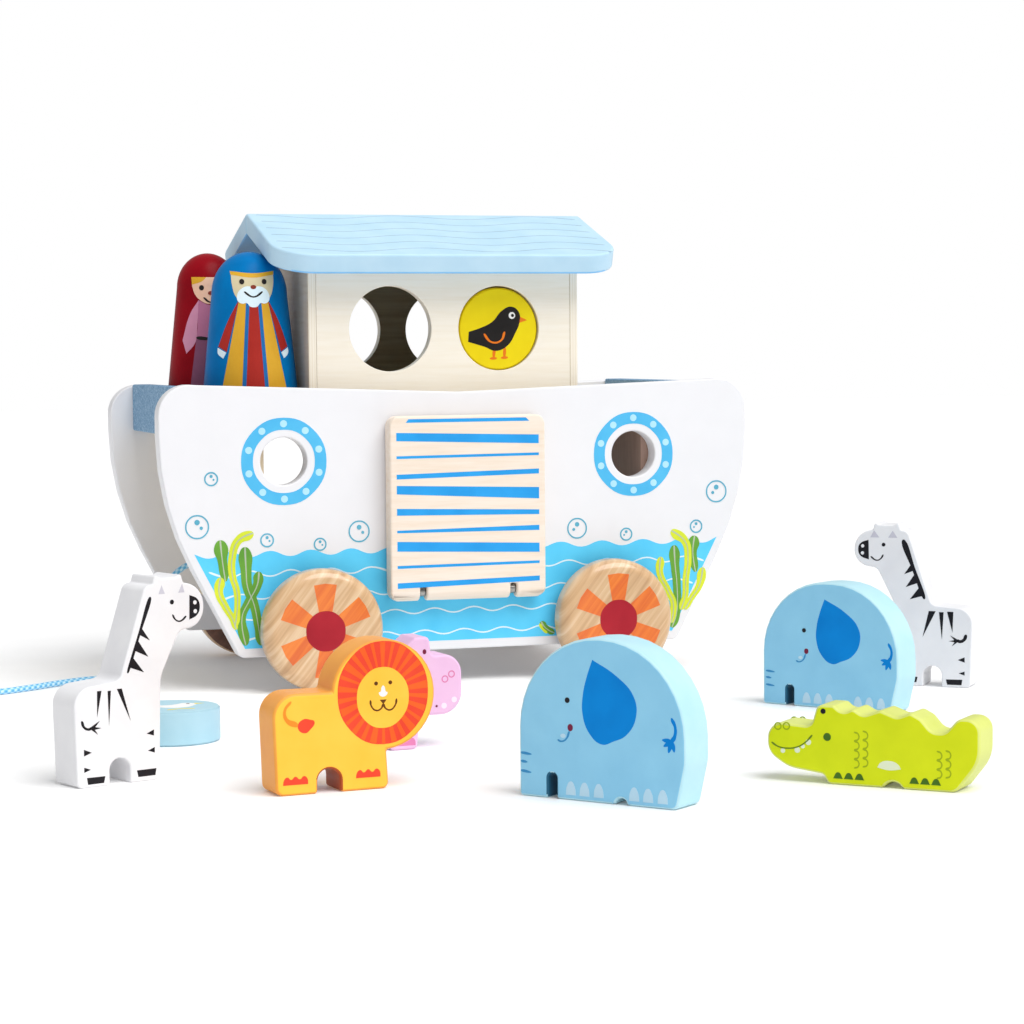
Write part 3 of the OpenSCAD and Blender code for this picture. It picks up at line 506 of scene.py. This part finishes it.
def house_wall(name, node, sheet, inward):
    # The inside is left raw, and the sawn ends of a gable show their plies
    def coat_of(face):
        return 1 if face.normal.dot(inward) > 0.9 else 2 if inward.x and abs(face.normal.y) > 0.8 else 0
    eased(name, node, "hull", [sheet, raw_ply, edge], 0.35, 2, coat_of)


house_wall("front_wall", "house_front", house_ply, Vector((0, 1, 0)))
house_wall("back_wall", "house_back", house_ply, Vector((0, -1, 0)))
house_wall("bow_gable", "house_bow_gable", gable_ply, Vector((1, 0, 0)))
house_wall("stern_gable", "house_stern_gable", gable_ply, Vector((-1, 0, 0)))

# Roof: two boards mitred and glued at the ridge, pale blue above and a deeper blue underneath, with two
# cleats below.
# The cleats drop inside the gables, so the roof lifts straight off.
roof_blue = lacquer("pale_blue_lacquer", "#bfdff2", "#b6d9ee", 0.42)
# The undersides of the boards are a deeper, bluer colour than the tops
roof_underside_deep_blue = lacquer("roof_underside_deeper_blue", "#8ccbfa", "#82c2f4", 0.5)
for name, node in (("front_roof", "roof_front_board"), ("back_roof", "roof_back_board")):
    eased(name, node, "roof", [roof_blue, roof_underside_deep_blue], 1.2, 3, underside)
roof_ink = lacquer("roof_grey_ink", "#a9c3d3", "#9fbaca", 0.5)
roof_slope, ridge_z, house_x = radians(18.2), 232.26, -2
roof_lines = [
    stroke([(u, v + 3.2 * cos(tau * (u + 48.7) / 72)) for u in range(-84, 85, 12)], 0.75)
    for v in (6.2, 18, 29.8, 41.6, 53.4, 65)
]
for side in (-1, 1):
    film("front_roof_lines" if side < 0 else "back_roof_lines", [(roof_ink, roof_lines)],
         lambda u, v, h: toy(house_x + u, side * (v * cos(roof_slope) + h * sin(roof_slope)),
                             ridge_z - v * sin(roof_slope) + h * cos(roof_slope)), "roof")
eased("bow_cleat", "roof_bow_cleat", "roof", [roof_blue], 0.5)
eased("stern_cleat", "roof_stern_cleat", "roof", [roof_blue], 0.5)

# Ramp: a board of clear birch with a half-round foot that swings on a steel pin in two screw eyes.
# Two button magnets hold it shut.
ramp_ply = ply("ramp_birch", "#f1e3d4", "#ead7c2", (40, 300, 520), 23)
# Drawn steel: bright metal whose gloss is broken by draw marks under 1 mm across
steel, tree = new_finish("bright_steel")
place = add(tree, "TexCoord").outputs["Object"]
draw = add(tree, "TexNoise", {"Scale": 1500, "Detail": 2}, {"Vector": place})
rough = add(tree, "MapRange", {"To Min": 0.22, "To Max": 0.4}, {"Value": draw.outputs["Fac"]})
coat = add(tree, "BsdfPrincipled", {"Metallic": 1, "Base Color": linear("#9c9a96")},
           {"Roughness": rough.outputs["Result"]})
add(tree, "OutputMaterial", links={"Surface": coat.outputs["BSDF"]})
eased("boarding_ramp", "ramp_board", "ramp", [ramp_ply], 1, 3)
stripe_ink = lacquer("stripe_blue_ink", "#2fa3ea", "#2798e0", 0.45)
stripes = [patch((-30, 129.7), (29.6, 129.7), (31.4, 128), (-31.4, 128))] + [
    patch((-36.2, a), (36.2, b), (36.2, b - b_deep), (-36.2, a - a_deep)) for a, a_deep, b, b_deep in (
        (123.2, 4, 121.2, 4.3), (111.9, 1.3, 112.4, 1.3), (103, 2.3, 104.5, 2.4), (97.6, 4.1, 95.4, 5.6),
        (86.5, 3.3, 84.4, 2.3), (75.9, 1.2, 76.8, 2.5), (70.5, 4.7, 68, 4.5), (58.8, 1.4, 59.3, 1.3),
        (50.4, 2.7, 51.8, 2.4))
]
ramp_y = 82.5
film("ramp_stripes", [(stripe_ink, stripes)], lambda u, v, h: toy(u, -ramp_y - h, v), "ramp")
for node in ("ramp_pin", "ramp_screw_eyes", "ramp_magnet", "hull_magnet"):
    coated(node, steel)

# Wheels: turned beech discs with a full round rim, glued on beech axles that turn in the sides.
# A red hub and six orange rays are printed on the outer face; the inner face's dark brown is painted shade.


def turned_wood(name, dark, middle, pale):
    # Beech with a clear varnish: growth lines about 2.7 mm apart run slanting across the disc, and show
    # through a thin ink too
    made, tree = new_finish(name)
    place = add(tree, "TexCoord").outputs["Object"]
    board = add(tree, "Mapping", {"vector_type": "TEXTURE", "Scale": (0.07, 0.016, 0.0027),
                                  "Rotation": (0, radians(-52), 0)}, {"Vector": place})
    figure = add(tree, "TexNoise", {"Scale": 1, "Detail": 4, "Distortion": 0.5},
                 {"Vector": board.outputs["Vector"]})
    tint = add(tree, "ValToRGB", {"ramp": [(0.28, dark), (0.5, middle), (0.72, pale)]},
               {"Fac": figure.outputs["Fac"]})
    relief = add(tree, "Bump", {"Strength": 0.06, "Distance": 0.0003}, {"Height": figure.outputs["Fac"]})
    coat = add(tree, "BsdfPrincipled", {"Roughness": 0.4, "Coat Weight": 0.6, "Coat Roughness": 0.1},
               {"Base Color": tint.outputs["Color"], "Normal": relief.outputs["Normal"]})
    add(tree, "OutputMaterial", links={"Surface": coat.outputs["BSDF"]})
    return made


beech = turned_wood("turned_beech", "#bb9064", "#d3ac80", "#e5c8a2")
# Painted shade: a dark brown beech for the inner faces, which lie in the shadow under the hull
beech_inner_shade = turned_wood("beech_inner_painted_shade", "#5a3320", "#683d28", "#774a33")
hub_ink = lacquer("hub_red_ink", "#ae2431", "#a01d2b", 0.35)
ray_ink = turned_wood("ray_orange_ink", "#d65a0c", "#e26e14", "#ec8222")
rays, ray_count, wheel_y = [], 6, 91
for i in range(ray_count):
    c, s = cos(tau * i / ray_count), sin(tau * i / ray_count)
    rays.append(patch(*[(w * c + r * s, r * c - w * s)
                        for w, r in ((-3.3, 9.2), (3.3, 9.2), (5.6, 22.1), (0, 22.8), (-5.6, 22.1))]))
for end, x in (("bow", -axle_x), ("stern", axle_x)):
    coated(end + "_axle", beech_rod)
    for side, out in (("front", -1), ("back", 1)):
        eased(f"{side}_{end}_disc", f"{end}_wheel_{side}", end + "_wheels", [beech, beech_inner_shade],
              0.5, 3, lambda face: 1 if face.normal.y * out < -0.45 else 0)
        film(f"{side}_{end}_rays", [(ray_ink, rays), (hub_ink, [dot(0, 0, 9.7)])],
             lambda u, v, h: toy(x + u, out * (wheel_y + h), axle_z + v), end + "_wheels")

# Bird discs: turned wooden discs, lacquered, that fit the windows. One rests in a front window,
# the other lies on the table.
disc_yellow = lacquer("yellow_lacquer", "#f4dc0e", "#ecd206")
disc_blue = lacquer("light_blue_lacquer", "#b2d7e4", "#a8d1e0")
eased("window_disc", "raven_disc", "raven_disc", [disc_yellow], 0.3, 2)
eased("table_disc", "dove_disc", "dove_disc", [disc_blue], 0.3, 2)
bird_black = lacquer("bird_black_ink", "#23201f", "#1b1818", 0.45)
bird_orange = lacquer("bird_orange_ink", "#ee7f1d", "#e67314", 0.5)
bird_white = lacquer("bird_white_ink", "#f4f4f2", "#ececea", 0.5)
window_x, window_y, window_z = 26, -50.5, 173.2
table_x, table_y, disc_thick = -173.2, -218.5, 14.5
film("window_bird", [
    (bird_orange, [stroke([(-2, -9), (-2.6, -14.6)], 0.9), stroke([(3.4, -9), (3, -14.4)], 0.9),
                   stroke([(-4.6, -14.8), (-0.8, -14.6)], 0.8), stroke([(1.2, -14.5), (5, -14.3)], 0.8),
                   [[(9.4, 7, 1), (15.2, 4.2, 1), (9.2, 2.4, 1)]]]),
    (bird_black, [[[(-15.4, -1.4, 1), (-9, 0.6), (-3, 3.6), (2, 9), (7, 11), (11, 8), (11.2, 3.4),
                    (8.8, -2.4), (4.8, -8.4), (-1.4, -11), (-7, -9), (-15.8, -6.4, 1)]]]),
    (bird_orange, [stroke([(-7.6, -2.4), (-3.6, -6.6), (1.4, -5.8), (3.4, -1.4)], 0.9)]),
    (bird_white, [dot(7.2, 6.6, 1.7)]),
    (bird_black, [dot(7.5, 6.6, 0.8)]),
], lambda u, v, h: toy(window_x + u, window_y - h, window_z + v), "raven_disc")
film("table_bird", [
    (bird_white, [[[(-14, 3, 1), (-8, 0.4), (-3, -5), (4, -6.4), (9, -2), (11, 4), (7, 7.4), (3, 4.4),
                    (-2, 2.6), (-9, 7, 1)]]]),
    (disc_yellow, [[[(10.6, 5.6, 1), (15, 4.4, 1), (10.8, 2.8, 1)]],
                   stroke([(-4, -12), (2, -10), (8, -11)], 1.1)]),
    (bird_black, [dot(8, 4.6, 0.8)]),
], lambda u, v, h: toy(table_x + u, table_y + v, disc_thick + h), "dove_disc")

# Peg figures: turned from solid wood, lacquered and printed with a robe and a simple face.
# They stand loose on the deck beside the house.
robe_blue = lacquer("deep_blue_lacquer", "#0478bd", "#036cad", 0.3, 0.05)
shawl_red = lacquer("deep_red_lacquer", "#950d1b", "#870a17", 0.3, 0.06)
eased("bearded_peg", "noah_figure", "noah", [robe_blue], 0.3, 2)
eased("shawl_peg", "wife_figure", "wife", [shawl_red], 0.3, 2)
facing, deck_z = radians(-6), 129.4


def round_peg(x, y, r, shoulder, tall):
    # A print is laid on from the front, and follows the taper and the dome
    foot, dome = 0.15 * tall, 1.12 * shoulder
    neck = tall - dome

    def place(u, v, h):
        if v > neck:
            here = shoulder * sqrt(max(1 - ((v - neck) / dome) ** 2, 0))
        else:
            here = r + (shoulder - r) * max(v - foot, 0) / (neck - foot)
        a = facing + asin(max(min(u / here, 1), -1))
        return toy(x + (here + 2 * h) * sin(a), y - (here + 2 * h) * cos(a), deck_z + v)
    return place


skin_ink = lacquer("doll_skin_ink", "#f3c9ae", "#ecbda0", 0.5)
tan_ink = lacquer("doll_tan_ink", "#d9cda9", "#d2c5a0", 0.5)
line_ink = lacquer("doll_line_ink", "#2a2422", "#221d1c", 0.5)
nose_ink = lacquer("doll_nose_ink", "#8c3a2c", "#803226", 0.5)
robe_yellow = lacquer("robe_yellow_ink", "#e0ad33", "#d7a22a", 0.5)
robe_red = lacquer("robe_red_ink", "#b02c22", "#a5251d", 0.5)
robe_line = lacquer("robe_line_ink", "#1f6fb4", "#1a66a8", 0.5)
dress_pink = lacquer("dress_pink_ink", "#bd7896", "#b46e8d", 0.5)
# Painted shade: a darker plum over the skirt below the belt, where the figure stands in the hull's shade
dress_hem_shade = lacquer("lower_dress_painted_shade", "#8d5570", "#834c67", 0.5)
sleeve_pink = lacquer("sleeve_pink_ink", "#d393ad", "#cb89a4", 0.5)


def doll_face(apart, eyes_v, nose_v, smile, corners_v, low_v):
    # Dots for eyes, a round nose and one curved line for the mouth
    eyes = [dot(side * apart, eyes_v, 1.15, 1.15) for side in (-1, 1)]
    mouth = stroke([(-smile, corners_v), (0, low_v), (smile, corners_v)], 0.7)
    return eyes + [mouth], [dot(0, nose_v, 1.35, 0.75)]


def both(points):
    return [[points], [[(-p[0], *p[1:]) for p in points]]]


lines, nose = doll_face(5.4, 67.5, 64.8, 4.5, 62.6, 60)
film("bearded_peg_print", [
    (tan_ink, [[[(-10.3, 71.2, 1), (-10, 66), (-8.2, 60), (-4, 56.4), (4, 56.4), (8.2, 60), (10, 66),
                 (10.3, 71.2, 1), (0, 69.6)]]]),
    (robe_yellow, [[[(-10.6, 72.8, 1), (0, 71.6), (10.6, 72.8, 1), (10.4, 71, 1), (0, 69.4),
                     (-10.4, 71, 1)]],
                   *both([(-3.7, 57.4, 1), (-7.2, 57.4, 1), (-18.5, 1.4, 1), (-7.4, 1.4, 1)])]),
    (robe_red, [patch((-2, 57.4), (2, 57.4), (5.4, 1.4), (-5.4, 1.4)),
                *both([(-7, 58.6, 1), (-12.2, 48.5), (-16.8, 36, 1), (-13.2, 33.4, 1), (-8.8, 51, 1)])]),
    (robe_line, both([(-2, 57.4, 1), (-3.7, 57.4, 1), (-7.4, 1.4, 1), (-5.4, 1.4, 1)])),
    (foam_ink, [[[(-5.2, 64.4), (-2.6, 65.2), (0, 64.6), (2.6, 65.2), (5.2, 64.4), (7.6, 61.4), (7.4, 58),
                  (5.4, 56.8), (3.2, 57), (1.8, 55.4), (0, 55), (-1.8, 55.4), (-3.2, 57), (-5.4, 56.8),
                  (-7.4, 58), (-7.6, 61.4)]],
                *both([(-17, 35.4, 1), (-17, 32.6), (-14.8, 30.2, 1), (-13.4, 33, 1)])]),
    (line_ink, lines), (nose_ink, nose),
], round_peg(-95.5, -28, 23.5, 18.6, 82.5), "noah", 1.6)
lines, nose = doll_face(4.4, 65.7, 63, 3.6, 60.8, 58.4)
film("shawl_peg_print", [
    (dress_pink, [[[(-6.2, 59.6, 1), (0, 57), (6.2, 59.6, 1), (7, 44), (13, 1.4, 1), (-13, 1.4, 1),
                    (-7, 44)]]]),
    (dress_hem_shade, [[[(-7.6, 40, 1), (7.6, 40, 1), (13, 1.4, 1), (-13, 1.4, 1)]]]),
    (sleeve_pink, both([(-6, 59.4, 1), (-10, 53), (-14, 39.4, 1), (-12.4, 32.6, 1), (-8, 38.4), (-7, 46)])),
    (line_ink, [stroke([(-7.6, 40.6), (0, 40), (7.6, 40.6)], 1.2)]),
    (skin_ink, [[[(-9, 71, 1), (-8.7, 66), (-6.2, 60.4), (0, 57.5), (6.2, 60.4), (8.7, 66), (9, 71, 1)]]]),
    (robe_yellow, both([(-9.1, 71.2, 1), (-2, 71, 1), (-4.2, 68.9), (-8.9, 67.4, 1)])),
    (line_ink, lines), (nose_ink, nose),
], round_peg(-106.2, 21.7, 21, 15.5, 83.5), "wife", 1.6)

# Animals: flat blocks sawn from 17 mm board, rounded over at the edges, lacquered and printed on both
# faces. The ones with a paler edge are dyed first and printed over the whole face.
board = 17


def block(name, node, at, turn, coats, print_layers, flip=0, shift=0, tall=1, ease=1.3, leg_gap_shade=(0, 0, 0)):
    # A block is marked out along the foot of its front face, and flip turns the print round with the
    # shape. The third coat is painted shade in the deep gap beside a leg, given as where the gap starts
    # and ends and how high it is.
    along = Vector((cos(radians(turn)), sin(radians(turn)), 0))
    out = Vector((along.y, -along.x, 0))

    def coat_of(face):
        spot = face.calc_center_median()
        u, v = 1000 * (spot - toy(*at, 0)).dot(along), 1000 * spot.z
        if abs(face.normal.dot(out)) > 0.9:
            return 1
        return 2 if leg_gap_shade[0] < u < leg_gap_shade[1] and 0.5 < v < leg_gap_shade[2] else 0

    eased(name, node, node, coats, ease, 4, coat_of)

    def place(u, v, h):
        spot = Vector((*at, 0)) + along * (flip - u if flip else u + shift)
        spot += out * (h if near else -board - h)
        return toy(spot.x, spot.y, v * tall)

    for near in (True, False):
        film(f"{name}_{'front' if near else 'back'}_print", print_layers, place, node)


def toes(u, v):
    return [[(u, v, 1), (u + 0.4, v + 2), (u + 1.7, v + 3), (u + 3.2, v + 2), (u + 4.9, v + 3.1),
             (u + 6.6, v + 2), (u + 8.3, v + 3.1), (u + 9.6, v + 2), (u + 9.8, v, 1)]]


zebra_white = lacquer("zebra_white_lacquer", "#eeeef0", "#e7e7ea")
zebra_black = lacquer("zebra_black_ink", "#1e1c22", "#17151a", 0.45)
inner_ear = lacquer("inner_ear_grey_ink", "#cdcbd6", "#c4c2ce", 0.45)


def wedge(u, v, tip_u, tip_v, wide):
    return patch((u - wide / 2, v), (u + wide / 2, v), (tip_u, tip_v))


def zebra_print(bold):
    # The two blocks carry one design, with a heavier brush on the second
    return [
        (inner_ear, [wedge(39, 71.2, 39, 74.6, 2.8 * bold), wedge(47.8, 71.2, 48.2, 74.6, 2.8 * bold)]),
        (zebra_black, [
            [[(52.2 - 0.8 * bold, 70, 1), (55, 68.2), (56, 65.2), (54.9, 62.3),
              (52 - 0.8 * bold, 60.5, 1)]],
            dot(43.5, 67.8, 0.9), stroke([(43.6, 63), (45, 60.9), (47, 60.2), (49.9, 62)], 0.55),
            stroke([(34, 70.4), (29, 57), (23.4, 42)], 1.25 * bold, 0.8 * bold),
            patch((30, 58.6), (29, 57.4 - 1.2 * bold), (33.4, 53.8)),
            patch((28.1, 54.2), (26.6, 51.4 - bold), (32.6, 47.6)),
            patch((25.7, 48), (24.2, 45.2 - bold), (30.6, 41.8)),
            wedge(11, 36.3, 9.9, 26.4, 1.9 * bold), wedge(15.3, 36, 15, 22.8, 1.4 * bold),
            wedge(19.7, 36.4, 24.4, 23.8, 2.1 * bold),
            stroke([(3.2, 25.6), (4.2, 23.2), (6, 22.2), (8, 22.7)], 0.9 * bold),
            patch((7.2, 23), (11, 25), (9, 22.8), (11.6, 22.2), (8.8, 21.8), (10.2, 19.8), (7.2, 22)),
            patch((4, 14.7), (4, 12.2), (7.3, 13.3)), patch((4, 7.9), (4, 6), (6.8, 6.9)),
            patch((34.6, 19.5), (34.5, 17.2), (31.4, 18.2)),
            patch((34.8, 12.7), (34.8, 10.6), (31.8, 11.6)),
            patch((5.1, 3.9), (13, 3.8), (12.4, 1.3), (5.5, 1.3)),
            patch((26.8, 4.5), (35.4, 4.5), (34.9, 1.9), (27.4, 1.9))]),
        (zebra_white, [dot(53.8, 67, 0.8), dot(53.9, 63.6, 0.8)]),
    ]


block("left_zebra", "zebra_left", (-231.3, -332.7), 21, [zebra_white] * 2, zebra_print(1),
      ease=0.8)
block("right_zebra", "zebra_right", (189.4, -164.7), -40, [zebra_white] * 2,
      zebra_print(1.6), flip=37.18, ease=0.8)

lion_yellow = lacquer("lion_yellow_lacquer", "#ffc648", "#fcbe3d")
lion_orange = lacquer("lion_orange_lacquer", "#f5ab4c", "#efa043")
mane_red = lacquer("mane_red_ink", "#ec4a30", "#e4412a", 0.45)
mane_orange = lacquer("mane_orange_ink", "#f76426", "#f05c1f", 0.45)
tail_orange = lacquer("tail_orange_ink", "#f08f2c", "#e98525", 0.45)
# Painted shade: a dark orange-brown inside the gap between the lion's legs
lion_gap_shade = lacquer("lion_gap_painted_shade", "#b5562c", "#a94d26")
lion_brown = lacquer("lion_brown_ink", "#6b4012", "#5d370f", 0.45)
mane, mane_u, mane_v, mane_tall, tufts = [], 43.7, 36.1, 1.07, 26
for i in range(tufts):
    wide = radians((3.4, 2.2, 4.4, 2.8)[i % 4])
    mane.append(patch(*[
        (mane_u + r * sin(tau * i / tufts + w), mane_v + mane_tall * r * cos(tau * i / tufts + w))
        for r, w in ((6, -wide), (17.9, -wide), (17.9, wide), (6, wide))]))
block("lion_block", "lion", (-165.3, -376), 6.5, [lion_orange, lion_yellow, lion_gap_shade], [
    (mane_red, [dot(mane_u, mane_v, 18.1, mane_tall), toes(3.8, 4), toes(32.5, 4.7),
                [[(9.8, 25.4), (11.8, 28), (14.8, 27.8), (16.4, 27), (15, 24.4), (12.4, 22.9)]]]),
    (mane_orange, mane),
    (tail_orange, [stroke([(7.4, 35), (4.9, 31.8), (5.4, 28.4), (9.9, 25.7)], 0.7, 1.7)]),
    (lion_yellow, [dot(43.6, 34.3, 10.4, 1.1)]),
    (zebra_white, [stroke([(mane_u, 38.8), (mane_u, 36.4), (mane_u, 34.6)], 1.2, 3.4)]),
    (lion_brown, [dot(40.9, 39.7, 0.75), dot(46.6, 39.8, 0.75),
                  patch((42.3, 33.5), (45.1, 33.5), (mane_u, 31.8)),
                  stroke([(38.5, 33.6), (38.9, 31.4), (40.8, 29.6), (42.8, 30.2), (mane_u, 32)], 0.6),
                  stroke([(49.1, 33.6), (48.6, 31.4), (46.6, 29.5), (44.6, 30.2), (mane_u, 32)], 0.6)]),
], leg_gap_shade=(17, 27.5, 9.6))

hippo_pink = lacquer("hippo_pink_lacquer", "#ecc4e4", "#e6bbdf")
hippo_rose = lacquer("hippo_rose_ink", "#df86b4", "#d87bab", 0.45)
hippo_plum = lacquer("hippo_plum_ink", "#7c2244", "#6f1d3c", 0.45)
hippo_pale = lacquer("hippo_pale_ink", "#fbe6f7", "#f6dcf1", 0.45)
block("hippo_block", "hippo", (-117.1, -283.6), 5, [hippo_pink] * 2, [
    (hippo_rose, [ring(46.4, 28.3, 1.5, 1), ring(49.3, 30.2, 1.5, 1), toes(1.6, 1.8), toes(23.4, 1.8),
                  stroke([(4, 33), (2.8, 28.4), (5.4, 25.4)], 0.8, 1.4)]),
    (hippo_pale, [dot(45.9, 17.3, 1.2), dot(50.4, 19.6, 1.2)]),
    (hippo_plum, [dot(37.5, 40, 0.8, 1.3), dot(42.6, 17.3, 0.5)]),
])

elephant_pale = lacquer("elephant_pale_lacquer", "#bde3ee", "#b3deea")
# Painted shade: a dark blue inside the slot between the trunk and the legs
elephant_gap_shade = lacquer("elephant_gap_painted_shade", "#2d6684", "#275c79")
elephant_blue = lacquer("elephant_blue_lacquer", "#92d0ee", "#8ac9e9")
ear_ink = lacquer("ear_blue_ink", "#0587da", "#027dd0", 0.45, 0.08)
crease_ink = lacquer("crease_blue_ink", "#3d92c8", "#3589c0", 0.45)
nail_ink = lacquer("nail_white_ink", "#bfdff0", "#b5d8eb", 0.45)
elephant_print = [
    (ear_ink, [[[(31.8, 51.8, 1), (42, 46.4), (49, 39.6), (50, 32.6), (46, 25.6), (40.4, 22.8), (35.6, 21.4),
                 (30.4, 25), (27.6, 31.6), (27.7, 38.6), (29.4, 45.4)]],
               stroke([(64.4, 33), (66, 29.6), (65.8, 26.6), (64.4, 24.2)], 0.9, 1.5),
               stroke([(64.6, 24.6), (60.6, 24.9)], 1.2, 0.7),
               stroke([(64.4, 24.4), (61.2, 22.6)], 1.3, 0.7),
               stroke([(64.5, 24.6), (63.2, 20.4)], 1.3, 0.7),
               stroke([(64.7, 24.6), (65.6, 20.8)], 1.2, 0.7)]),
    (crease_ink, [stroke([(0.8, 16), (5.6, 15.6)], 0.7, 0.4), stroke([(0.8, 12.9), (3.8, 12.6)], 0.7, 0.4),
                  stroke([(0.8, 9.4), (5.4, 8.9)], 0.7, 0.4),
                  stroke([(16.8, 21.8), (18.4, 21.3), (20.6, 22.4), (21.9, 25.2)], 0.6)]),
    (nail_ink, [[[(u - 2.1, 2, 1), (u - 1.6, 5.2), (u, 7), (u + 1.6, 5.2), (u + 2.1, 2, 1)]]
                for u in (22.4, 28.2, 34.2, 49, 54.8, 60.8)] + [dot(19.2, 23.4, 1.1, 0.7)]),
    (hippo_plum, [dot(22.3, 26.6, 1.1, 1.2)]),
    (zebra_black, [dot(21.1, 36.5, 1)]),
]
elephant_coats = [elephant_pale, elephant_blue, elephant_gap_shade]
trunk_gap_shade = (12, 16.6, 9.6)
block("front_elephant", "elephant_front", (-79.2, -403), -51, elephant_coats,
      elephant_print, leg_gap_shade=trunk_gap_shade)
block("back_elephant", "elephant_back", (104.2, -201), -55, elephant_coats,
      elephant_print, shift=0.9, tall=57 / 59.7, leg_gap_shade=trunk_gap_shade)

croc_pale = lacquer("crocodile_pale_lacquer", "#dbe27e", "#d4dc71")
croc_green = lacquer("crocodile_green_lacquer", "#dbe512", "#d2dd0a")
scale_ink = lacquer("scale_olive_ink", "#a2b414", "#98aa10", 0.45)
mouth_ink = lacquer("mouth_olive_ink", "#708a1c", "#667f18", 0.45)
tooth_ink = lacquer("tooth_pale_ink", "#e9f0d6", "#e1e9cb", 0.45)
leaf_ink = lacquer("crocodile_dark_ink", "#47701c", "#3d6418", 0.45)
scales = [stroke([(u - 1.3, v + 1.7), (u + 0.4, v + 0.9), (u + 0.4, v - 0.9), (u - 1.3, v - 1.7)], 0.5)
          for first, low, high in ((36, 8.4, 19.6), (39.4, 9, 19.8), (68, 6.6, 14.4), (71.4, 7, 14.8))
          for u, v in [(first, low + 3.4 * i) for i in range(int((high - low) / 3.4) + 1)]]
block("crocodile_block", "crocodile", (19.5, -403), -45, [croc_pale, croc_green], [
    (scale_ink, scales + [ring(4.4, 20.8, 1.5, 1), ring(7.8, 21, 1.5, 1)]),
    (tooth_ink, [dot(6.4, 11.6, 0.9), dot(12.2, 12.2, 1.1), dot(14.4, 13.7, 0.8), dot(16.6, 15.4, 1.1),
                [[(43.8, 7.6, 1), (45, 9.4), (48.4, 10.3), (51.8, 9.2), (53, 7.4, 1), (48.4, 6.8)]]]),
    (mouth_ink, [stroke([(1.8, 14.6), (4.4, 13.1), (8, 12.6), (12.4, 13.4), (15.6, 15.4), (18.2, 18.2)],
                        0.5)]),
    (leaf_ink, [dot(24.1, 17.8, 1.5), *[[[(u, 2.4, 1), (u + 1.9, 4.8), (u + 3.8, 2.4, 1)]] for u in
                                        (26.5, 30.7, 34.9, 56.2, 60.4, 64.6)]]),
    (zebra_black, [dot(22.5, 27.4, 1)]),
])

# Floor and light: white paper on a table that is lit a little from below, one very soft light from high
# in front and somewhat to the right, and bright even surroundings before a white backdrop.
# Matt paper: nearly even white, with faint clouds about 25 mm across
paper, tree = new_finish("white_paper")
place = add(tree, "TexCoord").outputs["Object"]
grain = add(tree, "TexNoise", {"Scale": 40, "Detail": 3}, {"Vector": place})
tint = add(tree, "ValToRGB", {"ramp": [(0.3, "#f7f7f7"), (0.7, "#fbfbfb")]}, {"Fac": grain.outputs["Fac"]})
coat = add(tree, "BsdfPrincipled", {"Roughness": 0.6, "Emission Strength": 0.08},
           {"Base Color": tint.outputs["Color"], "Emission Color": tint.outputs["Color"]})
add(tree, "OutputMaterial", links={"Surface": coat.outputs["BSDF"]})
bm = bmesh.new()
bmesh.ops.create_grid(bm, x_segments=1, y_segments=1, size=6)
floor_mesh = bpy.data.meshes.new("floor")
bm.to_mesh(floor_mesh)
bm.free()
floor_mesh.materials.append(paper)
paper_floor = bpy.data.objects.new("floor", floor_mesh)
bpy.context.scene.collection.objects.link(paper_floor)
key = bpy.data.objects.new("key", bpy.data.lights.new("key", "SUN"))
key.data.energy, key.data.angle = 2.75, radians(48)
key.matrix_world = Vector((-0.35, 0.58, -1.1)).to_track_quat("-Z", "Y").to_matrix().to_4x4()
bpy.context.scene.collection.objects.link(key)
surroundings = bpy.data.worlds.new("bright_studio")
surroundings.use_nodes = True
tree = surroundings.node_tree
tree.nodes.clear()
backdrop = add(tree, "Background", {"Color": linear("#ffffff"), "Strength": 1})
glow = add(tree, "Background", {"Color": linear("#ffffff"), "Strength": 0.44})
seen = add(tree, "LightPath").outputs["Is Camera Ray"]
both_skies = add(tree, "MixShader", links={0: seen, 1: glow.outputs[0], 2: backdrop.outputs[0]})
add(tree, "OutputWorld", links={"Surface": both_skies.outputs[0]})
bpy.context.scene.world = surroundings
bpy.context.scene.view_settings.view_transform = "Standard"
